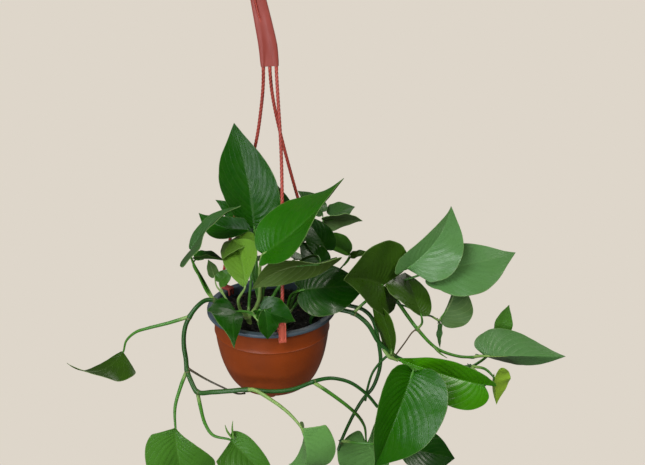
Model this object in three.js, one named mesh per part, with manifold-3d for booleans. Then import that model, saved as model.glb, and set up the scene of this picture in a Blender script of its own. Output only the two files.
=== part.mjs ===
// A hanging pothos: a round plastic pot with potting soil, a three-strand plastic hanger
// clipped over the pot's rim, and leafy stems that stand in the soil and trail over the rim.
// Millimetres, +Z up, +X right and +Y away as seen from the front.
// The origin is the saddle of the hook, where the object hangs.

import * as THREE from "three";
import { mergeVertices } from "three/addons/utils/BufferGeometryUtils.js";
import Module from "manifold-3d";

const wasm = await Module();
wasm.setup();

// Driving dimensions
const hangDrop = 412; // from the hook's saddle down to the plane of the pot's rim
const pot = {
  rimRadius: 75,
  lipWidth: 8,
  lipHeight: 4,
  bodyTop: 68.5, // outer radius just under the lip
  height: 101,
  baseRadius: 40,
  wall: 1.6,
  floor: 2.4,
  ringLine: -27, // a fine raised line round the wall
  feet: 6,
  footRadius: 4.5,
  footHeight: 2.6,
  drainHoles: 6,
  drainRadius: 4,
  drainCircle: 26,
};
const soil = { level: -11, bump: 2.2, gap: 0.3 };
const round = 32; // sides of the pot and of the soil
const leafThickness = 0.9;
const plainFold = 14; // degrees that each half of a blade folds up from the midrib
const cup = 0.1; // how far the margins of a blade bend down again
const waves = 14; // along a margin, in radians; the waves are 1 mm high
const seat = 0.3; // gap between pieces that touch
const strandRadius = 1.9;
const hook = {
  depth: 7,
  saddleRadius: 11,
  crookWidth: 10,
  sleeveBottom: 276.5, // above the rim
  sleeveWidth: 19.3,
  sleeveX: 4.3,
  socketPitch: 6.8,
  socketDepth: 7,
};
const clip = { width: 8, plate: 2.6, above: 15, below: 8.4, prongGap: 3 };

const leafGreen = new THREE.MeshStandardMaterial({ color: 0x2f7a22, roughness: 0.35 });
const stemGreen = new THREE.MeshStandardMaterial({ color: 0x3f7d2c, roughness: 0.5 });
const terracotta = new THREE.MeshStandardMaterial({ color: 0x8a4022, roughness: 0.55 });
const hangerRed = new THREE.MeshStandardMaterial({ color: 0xa8483e, roughness: 0.45 });
const pottingSoil = new THREE.MeshStandardMaterial({ color: 0x14100d, roughness: 0.95 });

const v = (p) => new THREE.Vector3(...p);

// Solids and meshes

function solidOf(geometry) {
  const bare = geometry.clone();
  for (const name of Object.keys(bare.attributes)) {
    if (name !== "position") bare.deleteAttribute(name);
  }
  const merged = mergeVertices(bare, 1e-3);
  const index = [...merged.index.array];
  const triVerts = [];
  for (let i = 0; i < index.length; i += 3) {
    const [a, b, c] = index.slice(i, i + 3);
    if (a !== b && b !== c && c !== a) triVerts.push(a, b, c);
  }
  return new wasm.Manifold(
    new wasm.Mesh({
      numProp: 3,
      vertProperties: merged.attributes.position.array,
      triVerts: new Uint32Array(triVerts),
    }),
  );
}

function meshOf(name, solid, material) {
  const data = solid.getMesh();
  const geometry = new THREE.BufferGeometry();
  geometry.setAttribute("position", new THREE.BufferAttribute(data.vertProperties, 3));
  geometry.setIndex(new THREE.BufferAttribute(data.triVerts, 1));
  geometry.computeVertexNormals();
  const mesh = new THREE.Mesh(geometry, material);
  mesh.name = name;
  return mesh;
}

const union = (solids) => solids.reduce((all, next) => all.add(next));

// A closed surface through rings of equal length; a ring of one point closes an end.
function loft(rings) {
  const points = [];
  const at = (ring, j) => ring[ring.length === 1 ? 0 : j % ring.length];
  for (let i = 0; i + 1 < rings.length; i++) {
    const near = rings[i];
    const far = rings[i + 1];
    for (let j = 0; j < Math.max(near.length, far.length); j++) {
      if (far.length > 1) points.push(at(near, j), at(far, j + 1), at(far, j));
      if (near.length > 1) points.push(at(near, j), at(near, j + 1), at(far, j + 1));
    }
  }
  return new THREE.BufferGeometry().setFromPoints(points);
}

// A round tube through hand-placed points, with a radius at its start, middle and end.
function tube(places, radii, sides, stepsPerSpan) {
  const curve = new THREE.CatmullRomCurve3(places.map(v));
  const steps = (places.length - 1) * stepsPerSpan;
  const rings = [[curve.getPoint(0)]];
  const normal = new THREE.Vector3(0.31, 0.87, 0.38);
  for (let i = 0; i <= steps; i++) {
    const t = i / steps;
    const radius =
      t < 0.5
        ? THREE.MathUtils.lerp(radii[0], radii[1], t * 2)
        : THREE.MathUtils.lerp(radii[1], radii[2], t * 2 - 1);
    const centre = curve.getPoint(t);
    const tangent = curve.getTangent(t);
    normal.addScaledVector(tangent, -normal.dot(tangent)).normalize();
    const binormal = new THREE.Vector3().crossVectors(tangent, normal);
    const ring = [];
    for (let j = 0; j < sides; j++) {
      const turn = (j / sides) * 2 * Math.PI;
      ring.push(
        centre
          .clone()
          .addScaledVector(normal, radius * Math.cos(turn))
          .addScaledVector(binormal, radius * Math.sin(turn)),
      );
    }
    rings.push(ring);
  }
  rings.push([curve.getPoint(1)]);
  return solidOf(loft(rings));
}

// Leaves

// Half of a blade as stations from base to tip: the margin's place along and across, for a
// heart-shaped and for an oval leaf, and where the side vein that ends there leaves the
// midrib. In leaf lengths and widths.
const outline = [
  { heart: [0, 0], oval: [0, 0], vein: 0 },
  { heart: [-0.09, 0.17], oval: [0.0, 0.1], vein: 0.03 },
  { heart: [-0.06, 0.34], oval: [0.05, 0.22], vein: 0.07 },
  { heart: [0.07, 0.47], oval: [0.15, 0.36], vein: 0.13 },
  { heart: [0.25, 0.5], oval: [0.3, 0.47], vein: 0.23 },
  { heart: [0.46, 0.45], oval: [0.48, 0.5], vein: 0.38 },
  { heart: [0.67, 0.31], oval: [0.68, 0.38], vein: 0.57 },
  { heart: [0.86, 0.12], oval: [0.86, 0.17], vein: 0.78 },
  { heart: [1, 0], oval: [1, 0], vein: 1 },
];
// Columns of a blade from its left margin over the midrib to its right margin.
const broadColumns = [-1, -0.55, 0, 0.55, 1];
const slimColumns = [-1, 0, 1];

function bladeFrame(leaf) {
  const base = v(leaf.base);
  const along = v(leaf.tip).sub(base);
  const length = along.length();
  along.normalize();
  const up = v(leaf.face);
  up.addScaledVector(along, -up.dot(along)).normalize();
  const across = new THREE.Vector3().crossVectors(along, up);
  return { base, along, across, up, length };
}

// The upper surface of a blade at a station, from -1 at the left margin to 1 at the right.
function bladePoint(leaf, frame, station, side) {
  const reach = Math.abs(side);
  const half = side < 0 ? 0 : 1;
  const oval = leaf.oval?.[half] ?? 0.2;
  const edge = THREE.MathUtils.lerp(station.heart[0], station.oval[0], oval);
  const margin = Math.max(0, THREE.MathUtils.lerp(station.heart[1], station.oval[1], oval));
  const lobe = leaf.lobes?.[half] ?? 1;
  const along = THREE.MathUtils.lerp(station.vein, edge < 0 ? edge * lobe : edge, reach);
  const wide = margin * leaf.width * (1 + Math.sign(side) * (leaf.skew ?? 0));
  const turn = Math.sign(side) * (leaf.twist ?? 0) * (along - 0.5);
  const fold = THREE.MathUtils.degToRad((leaf.fold?.[half] ?? plainFold) + turn);
  const lateral = reach * wide;
  const spread = (2 * lateral) / leaf.width;
  const ripple = Math.sin(waves * along + 2 * half) * spread * spread;
  const arch = 4 * Math.max(0, along) * (1 - along) * frame.length;
  const height =
    lateral * Math.sin(fold) +
    (leaf.bow ?? 0.06) * arch -
    cup * spread * lateral +
    ripple;
  const sideways = Math.sign(side) * lateral * Math.cos(fold) + (leaf.curl ?? 0) * arch;
  return frame.base
    .clone()
    .addScaledVector(frame.along, along * frame.length)
    .addScaledVector(frame.across, sideways)
    .addScaledVector(frame.up, height);
}

// A thin closed blade: the same triangles on its upper and its lower face. The lower face lies
// square to the mean lean of the two halves, deep enough for the steepest part of the fold.
function blade(leaf) {
  const frame = bladeFrame(leaf);
  const [left, right] = leaf.fold ?? [plainFold, plainFold];
  const lean = THREE.MathUtils.degToRad((right - left) / 2);
  const steepest = (Math.abs(left + right) + Math.abs(leaf.twist ?? 0)) / 2;
  const depth = leafThickness / Math.cos(THREE.MathUtils.degToRad(steepest));
  const under = frame.across
    .clone()
    .multiplyScalar(depth * Math.sin(lean))
    .addScaledVector(frame.up, -depth * Math.cos(lean));
  const stations = leaf.width < 33 ? outline.filter((_, i) => i % 2 === 0) : outline;
  const columns = leaf.width < 66 ? slimColumns : broadColumns;
  const top = stations.map((station) => columns.map((side) => bladePoint(leaf, frame, station, side)));
  const points = [];
  const face = (a, b, c) => {
    points.push(a, b, c);
    points.push(a.clone().add(under), c.clone().add(under), b.clone().add(under));
  };
  const wall = (a, b) => {
    points.push(b, a, a.clone().add(under));
    points.push(b, a.clone().add(under), b.clone().add(under));
  };
  for (let i = 0; i + 1 < top.length; i++) {
    for (let j = 0; j + 1 < columns.length; j++) {
      const [a, b, c, d] = [top[i][j], top[i][j + 1], top[i + 1][j + 1], top[i + 1][j]];
      if (columns[j] < 0) {
        face(a, b, d);
        face(b, c, d);
      } else {
        face(a, b, c);
        face(a, c, d);
      }
    }
    wall(top[i + 1][0], top[i][0]);
    wall(top[i].at(-1), top[i + 1].at(-1));
  }
  return solidOf(new THREE.BufferGeometry().setFromPoints(points));
}

// A leaf with its stalk, which runs from the stem into the blade along its midrib.
function leafSolid(leaf) {
  const frame = bladeFrame(leaf);
  const r = leaf.stalkRadius ?? 1.5;
  const station = outline[3];
  const sunk = bladePoint(leaf, frame, station, 0).addScaledVector(frame.up, -0.5 * r);
  const root = frame.base.clone().addScaledVector(frame.up, -0.4 * r);
  const path = [...leaf.stalk, root.toArray(), sunk.toArray()];
  return blade(leaf).add(tube(path, [r * 1.25, r, r * 0.75], 5, 1));
}

// A leafy stem: its stem tubes, side roots and leaves, joined in one solid.
function leafyStem({ stems, leaves }) {
  const tubes = stems.map(({ path, radii }) => tube(path, radii, 6, 1));
  return union([...tubes, ...leaves.map(leafSolid)]);
}

// Pot, soil and hanger

function potProfile() {
  const { rimRadius, lipWidth, lipHeight, bodyTop, ringLine, height, baseRadius, wall, floor } = pot;
  const outer = [
    [rimRadius - 1, 0],
    [rimRadius, -1],
    [rimRadius, -lipHeight],
    [bodyTop + 0.8, -lipHeight - 0.8],
    [bodyTop - 0.4, -12],
    [67.2, ringLine + 0.8],
    [67.6, ringLine],
    [67, ringLine - 0.8],
    [65, -42],
    [61, -62],
    [55, -80],
    [45.5, -95],
    [baseRadius, -height + pot.footHeight],
  ];
  const inner = [
    [baseRadius - wall, -height + pot.footHeight + floor],
    [51.5 - wall, -86],
    [60.5 - wall, -63],
    [66.2 - wall, -33],
    [bodyTop - wall, -9],
    [rimRadius - lipWidth, -3.4],
    [rimRadius - lipWidth + 0.8, 0],
  ];
  return { outer, inner };
}

const turned = (profile) => {
  const lathe = new THREE.LatheGeometry(
    profile.map(([r, z]) => new THREE.Vector2(r, z)),
    round,
  );
  return lathe.rotateX(Math.PI / 2);
};

function upright(radius, from, to, x, y, sides = 8) {
  const post = new THREE.CylinderGeometry(radius, radius, to - from, sides);
  return solidOf(post.rotateX(Math.PI / 2).translate(x, y, (from + to) / 2));
}

function potSolid() {
  const { outer, inner } = potProfile();
  const under = -pot.height + pot.footHeight;
  const floorTop = under + pot.floor;
  let body = solidOf(turned([[0, under], ...outer.toReversed(), ...inner.toReversed(), [0, floorTop]]));
  for (let i = 0; i < pot.feet; i++) {
    const turn = ((i + 0.5) / pot.feet) * 2 * Math.PI;
    const reach = pot.baseRadius - pot.footRadius - 0.5;
    const [x, y] = [reach * Math.cos(turn), reach * Math.sin(turn)];
    body = body.add(upright(pot.footRadius, -pot.height, under + 0.6, x, y));
  }
  for (let i = 0; i < pot.drainHoles; i++) {
    const turn = (i / pot.drainHoles) * 2 * Math.PI;
    const [x, y] = [pot.drainCircle * Math.cos(turn), pot.drainCircle * Math.sin(turn)];
    body = body.subtract(upright(pot.drainRadius, under - 1, floorTop + 1, x, y));
  }
  return body;
}

// Potting soil fills the pot; each stem stands in a plain hole.
function soilSolid(stemHoles) {
  const { inner } = potProfile();
  const wallSide = inner
    .filter(([, z]) => z < soil.level - 3)
    .map(([r, z], i) => [r - soil.gap, z + (i === 0 ? soil.gap : 0)]);
  const edge = 66.4 - soil.gap;
  const rings = [[new THREE.Vector3(0, 0, wallSide[0][1])]];
  const ring = (r, height) =>
    Array.from({ length: round }, (_, j) => {
      const turn = (j / round) * 2 * Math.PI;
      const [x, y] = [r * Math.cos(turn), r * Math.sin(turn)];
      return new THREE.Vector3(x, y, height(x, y));
    });
  for (const [r, z] of wallSide) rings.push(ring(r, () => z));
  const lumps = (x, y) => {
    const coarse = Math.sin(x * 0.21 + 1) * Math.cos(y * 0.17);
    return soil.level + soil.bump * (coarse + 0.5 * Math.sin(x * 0.11 - y * 0.13));
  };
  rings.push(ring(edge, () => soil.level - 0.5));
  for (const r of [56, 42, 26, 11]) rings.push(ring(r, lumps));
  rings.push([new THREE.Vector3(0, 0, lumps(0, 0))]);
  let body = solidOf(loft(rings));
  for (const { x, y, radius, depth } of stemHoles) {
    body = body.subtract(upright(radius, soil.level - depth, soil.level + 12, x, y));
  }
  return body;
}

// The moulded hook: a flat sleeve that leans into a shank and a crook.
function hookSolid() {
  const { saddleRadius, crookWidth, sleeveBottom, sleeveWidth, sleeveX, depth } = hook;
  const centreZ = hangDrop - saddleRadius;
  const arcSteps = 9;
  const arc = (radius, from, to) =>
    Array.from({ length: arcSteps + 1 }, (_, i) => {
      const turn = THREE.MathUtils.degToRad(THREE.MathUtils.lerp(from, to, i / arcSteps));
      const trueRadius = radius / Math.cos(Math.PI / 18);
      return [trueRadius * Math.cos(turn), centreZ + trueRadius * Math.sin(turn)];
    });
  const inner = arc(saddleRadius, 180, 0);
  const outer = arc(saddleRadius + crookWidth, 0, 180);
  const outline = [
    [sleeveX + sleeveWidth / 2, sleeveBottom - 1],
    [sleeveX + sleeveWidth / 2 - 1.2, sleeveBottom + 20],
    [2.2, sleeveBottom + 67],
    [-7.5, sleeveBottom + 104],
    ...inner,
    [12.5, centreZ - 9],
    [17, centreZ - 13],
    [21.5, centreZ - 9],
    ...outer,
    [-17.5, sleeveBottom + 104],
    [-13.8, sleeveBottom + 67],
    [sleeveX - sleeveWidth / 2 - 1.6, sleeveBottom + 20],
    [sleeveX - sleeveWidth / 2, sleeveBottom + 1],
  ];
  const shape = new THREE.Shape(outline.map(([x, z]) => new THREE.Vector2(x, z)));
  const plate = new THREE.ExtrudeGeometry(shape, { depth, bevelEnabled: false });
  let body = solidOf(plate.translate(0, 0, -depth / 2).rotateX(Math.PI / 2));
  for (const k of [-1, 0, 1]) {
    const x = sleeveX + k * hook.socketPitch;
    body = body.subtract(
      upright(strandRadius + 0.45, sleeveBottom - 4, sleeveBottom + hook.socketDepth + seat, x, 0),
    );
  }
  return body;
}

// A clip that grips the pot's lip from outside, with two prongs inside the rim.
function clipSolid(angle) {
  const outside = pot.rimRadius + seat;
  const under = -pot.lipHeight - 0.8 - seat;
  const profile = [
    [outside, under],
    [71, under],
    [70.5, -clip.below],
    [outside + clip.plate, -clip.below],
    [outside + clip.plate, clip.above],
    [outside, clip.above],
    [outside - 1, 3.4],
    [64.6, 3.4],
    [63.4, 2.2],
    [63.4, -6.5],
    [65.6, -6.5],
    [66, seat],
    [outside, seat],
  ];
  const shape = new THREE.Shape(profile.map(([r, z]) => new THREE.Vector2(r, z)));
  const plate = new THREE.ExtrudeGeometry(shape, { depth: clip.width, bevelEnabled: false });
  plate.translate(0, 0, -clip.width / 2).rotateX(Math.PI / 2);
  const notch = new THREE.BoxGeometry(6, clip.prongGap, 8).translate(63, 0, -3.2);
  return solidOf(plate.rotateZ(angle)).subtract(solidOf(notch.rotateZ(angle)));
}

// A strand of the hanger from its socket in the sleeve down to its clip.
function strandSolid({ path, angle }) {
  return tube(path, [strandRadius, strandRadius, strandRadius], 6, 2).add(clipSolid(angle));
}

// Places on the plant: millimetres from the centre of the pot's rim

const strands = {
  hanger_strand_front: {
    angle: -1.361,
    path: [[11.1, 0, 283], [11.1, -0.3, 272], [12.5, -8, 246], [15.5, -23, 195], [16.6, -40, 140],
      [16.6, -60, 72], [16.1, -75, 22], [16.1, -75.4, 13]],
  },
  hanger_strand_right: {
    angle: 0.743,
    path: [[4.3, 0, 283], [4.3, 0.4, 272], [6, 4, 246], [12.5, 12.8, 205], [30.8, 29, 122],
      [46, 42, 62], [56, 51.4, 22], [56.6, 52.2, 13]],
  },
  hanger_strand_left: {
    angle: 2.496,
    path: [[-2.5, 0, 283], [-2.6, 0.4, 272], [-3.4, 2.4, 256], [-6.4, 8, 232], [-14.5, 15, 188],
      [-38.4, 30, 112], [-60, 45.2, 22], [-61.4, 46.3, 13]],
  },
};

// Each leafy stem: the tubes of its stem, rooted in the soil, and its leaves. A leaf has the
// base and the tip of its blade, the way its upper side looks, its full width and the stalk from
// the stem to the base. The other values shape the blade, pairs for its left and its right half:
//   skew   how much wider the right half is than the left, as a part of the width
//   fold   degrees that each half leans up from the midrib
//   twist  degrees that the blade turns about its midrib from base to tip
//   curl   how far the midrib swings sideways at its middle, in leaf lengths
//   bow    how far the midrib arches upwards at its middle, in leaf lengths
//   lobes how far the lobes reach back behind the base, 1 for the plain heart shape
//   oval   0 for a heart-shaped half, 1 for an oval one, past them for slimmer or fuller
const leafyStems = {
  stem_crown_back: {
    stems: [{ path: [[-12, -6, -34], [-12, -6, -10], [-13, -6, 8]], radii: [3, 3, 2.4] }],
    leaves: [
      { base: [-17, -2, 96], tip: [-36, 5, 215], face: [0.07, -0.99, 0.12], width: 76,
        skew: -0.12, fold: [-35, 15], twist: -15, curl: 0.03, bow: 0.03, lobes: [0, 1],
        oval: [0.8, 0], stalk: [[-13, -6, 2], [-16, -6, 50]], stalkRadius: 2 },
      { base: [7, 16, 75], tip: [1, 32, 144], face: [0.28, -0.95, 0.15], width: 46,
        curl: 0.03, bow: 0.03, stalk: [[-12, -5, 2], [-5, 6, 40]] },
      { base: [-25, 2, 93], tip: [-83, 24, 105], face: [0.1, -0.92, 0.38], width: 36,
        skew: -0.2, fold: [45, 25], twist: 20, curl: -0.1, bow: 0.03, oval: [0.8, 0],
        stalk: [[-13, -6, 2], [-23, 0, 50]] },
      { base: [-27, 38, 74], tip: [-66, 46, 113], face: [-0.05, -0.99, 0.14], width: 32,
        skew: 0.2, curl: 0.08, bow: 0.02, stalk: [[-12, -4, 2], [-22, 20, 42]] },
    ],
  },
  stem_crown_front: {
    stems: [{ path: [[-24, -28, -32], [-24, -28, -10], [-26, -30, 1]], radii: [3.2, 3.2, 3] }],
    leaves: [
      { base: [-3, -76, 96], tip: [81, -65, 175], face: [-0.4, -0.75, 0.5], width: 80,
        skew: -0.15, fold: [-25, 50], twist: 60, curl: 0.1, bow: 0.1, lobes: [1.5, 3],
        oval: [0.9, 0.7], stalkRadius: 2,
        stalk: [[-25, -29, 0], [-19, -32, 7], [-12, -38, 23], [-9, -49, 46], [-7, -65, 76]] },
      { base: [-24, -63, 52], tip: [-42, -9, 85], face: [0.02, -0.98, 0.19], width: 50,
        skew: 0.15, fold: [35, 40], curl: 0.08, oval: [1.3, 1.4], stalkRadius: 1.7,
        stalk: [[-26, -29.5, -1], [-31, -38, 9], [-33, -50, 30]] },
      { base: [-16, -12, 91], tip: [-49, -49, 79], face: [-0.32, -0.3, 0.9], width: 40,
        skew: 0.2, fold: [15, -5], twist: -15, curl: 0.15, bow: -0.03,
        stalk: [[-25, -29, 0], [-20, -22, 50], [-15, -12, 78]] },
    ],
  },
  stem_crown_low: {
    stems: [{ path: [[-8, -50, -32], [-8, -50, -10], [-9, -51, 6]], radii: [3.2, 3.2, 2.6] }],
    leaves: [
      { base: [56, -82, 88], tip: [-16, -71, 53], face: [-0.24, 0.96, 0.25], width: 42,
        fold: [-10, -10], twist: -60, curl: -0.1, bow: 0.04, lobes: [3, 3], oval: [0, 0],
        stalkRadius: 1.7,
        stalk: [[-9, -51, 3], [4, -49, 32], [22, -50, 62], [40, -56, 82], [54, -70, 91]] },
      { base: [-9, -73, 30], tip: [31, -100, 30], face: [-0.34, -0.9, 0.28], width: 30,
        skew: -0.15, fold: [-20, -35], bow: -0.06, lobes: [0, 2], oval: [0, 0],
        stalk: [[-9, -51, 3], [-12, -62, 17]] },
      { base: [-2, -79, 32], tip: [0, -80, -2], face: [0.06, -0.84, 0.53], width: 25,
        skew: -0.1, fold: [0, 35], twist: -10, curl: -0.03, oval: [0.3, 0.6],
        stalk: [[-9, -51, 3], [-4, -63, 18], [-2, -74, 31]] },
      { base: [-36, -51, 17], tip: [-33, -105, 1], face: [0.34, -0.8, 0.49], width: 39,
        skew: 0.4, fold: [-15, 10], twist: 25, curl: 0.1, bow: 0.15, lobes: [0.5, 2.5],
        oval: [0.4, -0.5], stalk: [[-9, -51, 3], [-21, -48, 14]] },
    ],
  },
  stem_side_shoot: {
    stems: [{ path: [[-42, -22, -30], [-42, -22, -10], [-43, -21, 6]], radii: [2.2, 2.2, 1.8] }],
    leaves: [
      { base: [-64, -6, 39], tip: [-71, -2, 58], face: [0.01, 0.97, -0.24], width: 13,
        stalk: [[-43, -21, 4], [-54, -16, 21], [-62, -10, 29]], stalkRadius: 1.1 },
      { base: [-58, -16, 36], tip: [-41, -20, 54], face: [-0.42, -0.89, 0.16], width: 18,
        stalk: [[-43, -21, 4], [-52, -19, 20]], stalkRadius: 1.1 },
    ],
  },
  stem_dark_right: {
    stems: [{ path: [[18, -36, -32], [18, -36, -10], [19, -38, 8]], radii: [3, 3, 2.4] }],
    leaves: [
      { base: [36, -57, 46], tip: [110, -30, 38], face: [-0.14, -0.66, 0.73], width: 60,
        skew: 0.05, fold: [10, -5], bow: 0.04, stalk: [[19, -37, 4], [24, -44, 32]],
        stalkRadius: 1.7 },
      { base: [64, -18, 76], tip: [38, -10, 116], face: [0.22, -0.9, 0.37], width: 34,
        stalk: [[19, -37, 4], [34, -30, 38], [55, -22, 64]] },
      { base: [60, -26, 60], tip: [33, -22, 88], face: [0.21, -0.88, 0.43], width: 32,
        stalk: [[19, -37, 4], [38, -34, 30]] },
    ],
  },
  stem_back_right: {
    stems: [{ path: [[36, 22, -32], [36, 22, -10], [40, 23, 10]], radii: [2.6, 2.6, 2] }],
    leaves: [
      { base: [69, 58, 89], tip: [98, 68, 97], face: [-0.3, -0.5, 0.8], width: 31,
        stalk: [[39, 23, 4], [55, 38, 42], [66, 52, 76]], stalkRadius: 1.2 },
      { base: [59, 55, 95], tip: [30, 65, 118], face: [0.2, -0.6, 0.75], width: 26,
        stalk: [[39, 23, 4], [55, 38, 46]], stalkRadius: 1.2 },
      { base: [61, 23, 96], tip: [106, 38, 90], face: [-0.31, 0.66, 0.68], width: 35,
        fold: [-15, -5], curl: 0.05, bow: 0.03, lobes: [1, 1.5], oval: [-0.3, 0.2],
        stalk: [[39, 23, 4], [50, 24, 44], [59, 24, 80]], stalkRadius: 1.2 },
      { base: [90, 12, 59], tip: [61, 43, 56], face: [0.04, -0.9, 0.43], width: 29,
        skew: 0.4, fold: [45, 50], twist: 35, curl: 0.08, bow: 0.15, oval: [0.2, 0],
        stalk: [[39, 23, 4], [66, 14, 26], [84, 11, 46]], stalkRadius: 1.1 },
      { base: [92, 18, 54], tip: [113, 13, 61], face: [-0.36, -0.53, 0.76], width: 10,
        stalk: [[84, 11.5, 45], [89, 15, 49]], stalkRadius: 0.9 },
    ],
  },
  vine_left: {
    stems: [
      { path: [[-50, -14, -32], [-50, -14, -10], [-55, -17, 8], [-64, -21, 16], [-73, -26, 18],
          [-81, -32, 14], [-89, -38, 5], [-95, -42, -8], [-97, -46, -27], [-95, -50, -44],
          [-94, -53, -56], [-89, -58, -69], [-82, -64, -78], [-63, -72, -73], [-44, -76, -69],
          [-24, -78, -66], [2, -80, -67], [26, -79, -65], [44, -75, -60], [54, -73, -57],
          [70, -69, -57], [91, -64, -66], [110, -62, -83], [122, -62, -99]],
        radii: [2.5, 2.7, 1.8] },
      { path: [[-93, -53, -54], [-73, -56, -66], [-53, -64, -72], [-36, -72, -75], [-27, -76, -72]],
        radii: [1.4, 1, 1] },
    ],
    leaves: [
      { base: [-82, -22, 67], tip: [-50, -21, 65], face: [0.16, -0.2, 0.97], width: 26,
        fold: [20, 60],
        stalk: [[-64, -21, 15], [-72, -22, 28], [-79, -22, 46], [-85, -22, 60]] },
      { base: [-84, -36, 84], tip: [-30, -21, 130], face: [-0.67, -0.2, 0.72], width: 50,
        skew: 0.4, fold: [25, 25], twist: 15, curl: -0.03, bow: 0.07, lobes: [0.5, 1.5],
        oval: [0.8, -0.6], stalk: [[-64, -21, 15], [-76, -18, 40], [-85, -25, 66]] },
      { base: [-169, -36, -43], tip: [-218, -83, -29], face: [0.31, -0.42, 0.85], width: 45,
        skew: -0.4, fold: [40, -40], twist: -45, curl: -0.18, bow: -0.13, lobes: [0, 1],
        oval: [-0.6, 1.1], stalkRadius: 1.7,
        stalk: [[-90, -38.5, 4], [-113, -40, -3], [-138, -40, -10], [-152, -38, -16],
          [-164, -36, -28]] },
      { base: [-109, -69, -123], tip: [-97, -73, -216], face: [0, -0.95, 0.31], width: 80,
        fold: [10, 40], twist: 45, curl: 0.03, bow: 0.05, lobes: [1, 0], oval: [1.5, 0.3],
        stalkRadius: 1.8, stalk: [[-94, -53, -56], [-102, -56, -76], [-109, -62, -100]] },
      { base: [-44, -82, -130], tip: [10, -94, -193], face: [0.47, -0.76, 0.46], width: 54,
        skew: 0.3, fold: [35, 30], bow: 0.03, lobes: [1, 0], oval: [0.1, -0.5], stalkRadius: 1.8,
        stalk: [[-82, -64, -78], [-79, -68, -94], [-74, -73, -114], [-65, -78, -126]] },
      { base: [36, -112, -93], tip: [20, -73, -170], face: [0, -0.96, 0.3], width: 65,
        fold: [-15, -75], twist: -10, curl: -0.18, bow: 0.18, lobes: [0, 1], oval: [0, 1],
        stalkRadius: 1.8,
        stalk: [[-24, -78, -66], [-16, -82, -64], [3, -92, -70], [22, -102, -80]] },
      { base: [113, -28, -174], tip: [101, -40, -250], face: [-0.22, -0.95, 0.21], width: 68,
        skew: 0.4, fold: [-20, 15], twist: -45, curl: -0.18, bow: -0.07, lobes: [2.7, 3],
        oval: [-0.3, 0.1], stalkRadius: 1.8,
        stalk: [[49, -74, -59], [64, -76, -69], [92, -72, -96], [108, -48, -134]] },
    ],
  },
  vine_right_front: {
    stems: [
      { path: [[46, -26, -32], [46, -26, -10], [52, -29, 6], [66, -35, 13], [80, -40, 13],
          [94, -44, 11], [109, -48, 0], [122, -51, -21], [136, -52, -35], [150, -47, -47],
          [170, -40, -58], [197, -34, -66], [232, -28, -66]],
        radii: [2.6, 2.6, 1.8] },
      { path: [[136, -52, -36], [130, -51, -41], [117, -47, -62], [111, -45, -86], [109, -43, -103]],
        radii: [1.5, 1.4, 1.4] },
    ],
    leaves: [
      { base: [127, -31, 39], tip: [81, -84, 70], face: [0.3, -0.81, 0.49], width: 86,
        skew: 0.25, fold: [15, 35], twist: -15, curl: 0.06, bow: -0.03, lobes: [2, 2],
        oval: [-0.6, -0.3], stalk: [[94, -44, 12], [105, -41, 22], [118, -35, 31]] },
      { base: [136, -60, -30], tip: [112, -36, 25], face: [-0.47, -0.88, -0.01], width: 40,
        skew: -0.1, fold: [-20, 35], twist: -30, curl: 0.1, bow: -0.02, oval: [0.1, 0.6],
        stalk: [[136, -52, -36]] },
      { base: [242, -61, -71], tip: [142, -63, -35], face: [0.28, -0.8, 0.53], width: 57,
        skew: -0.15, fold: [15, 50], twist: -35, curl: -0.02, bow: 0, lobes: [1, 2],
        oval: [0.1, 0.4], stalk: [[231, -28, -66], [240, -40, -70], [245, -53, -72]] },
      { base: [159, -72, -46], tip: [119, -83, -167], face: [-0.07, -0.94, 0.33], width: 88,
        skew: -0.2, fold: [30, 45], bow: 0.11, lobes: [1, 0.5], oval: [-0.1, -0.4],
        stalk: [[148, -48, -45], [156, -61, -44]], stalkRadius: 1.8 },
      { base: [257, -42, -74], tip: [264, -36, -113], face: [-0.17, -0.96, 0.24], width: 29,
        skew: -0.2, fold: [-20, -75], twist: 30, bow: 0, lobes: [2.5, 1], oval: [-0.6, 0.2],
        stalk: [[232, -28, -66], [248, -31, -68]] },
      { base: [269, 0, -38], tip: [280, 11, -6], face: [0.08, -0.98, 0.18], width: 23,
        skew: 0.15, curl: -0.03, bow: 0.02, oval: [0.2, -0.2],
        stalk: [[232, -28, -66], [240, -9, -76], [258, 5, -71], [267, 6, -53]] },
    ],
  },
  vine_right_middle: {
    stems: [
      { path: [[44, 2, -32], [44, 2, -21], [44, 2, -10], [52, 0, 8], [70, -3, 18], [98, -6, 23],
          [126, -11, 22], [143, -18, 14], [154, -25, 1], [167, -32, -15], [190, -34, -39],
          [214, -34, -49], [234, -32, -52]],
        radii: [2.5, 2.3, 1.6] },
      { path: [[126, -11, 21], [141, -22, 14], [155, -26, 10], [173, -29, 2], [184, -27, -2],
          [191, -25, -8], [194, -26, -13]],
        radii: [1.2, 1, 0.9] },
    ],
    leaves: [
      { base: [153, -23, 56], tip: [206, 23, 114], face: [-0.5, -0.8, 0.33], width: 58,
        skew: 0.35, fold: [60, 10], twist: 20, curl: 0.14, bow: 0.09, lobes: [1, 0],
        oval: [-0.6, 0.1], stalk: [[126, -11, 22], [138, -6, 34], [148, -10, 48]],
        stalkRadius: 1.2 },
      { base: [184, -13, 48], tip: [278, -3, 67], face: [-0.24, -0.73, 0.64], width: 71,
        skew: 0.2, fold: [15, 20], twist: -15, curl: 0.04, bow: 0.08, lobes: [1, 2],
        oval: [-0.4, 0.3], stalk: [[126, -11, 22], [143, -6, 30], [164, -6, 38]],
        stalkRadius: 1.2 },
      { base: [169, -46, 9], tip: [155, 11, 36], face: [0.14, -0.86, 0.49], width: 56,
        skew: -0.4, fold: [35, 5], twist: 10, bow: 0.05, lobes: [1, 0.5], oval: [1.2, 0.5],
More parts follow.
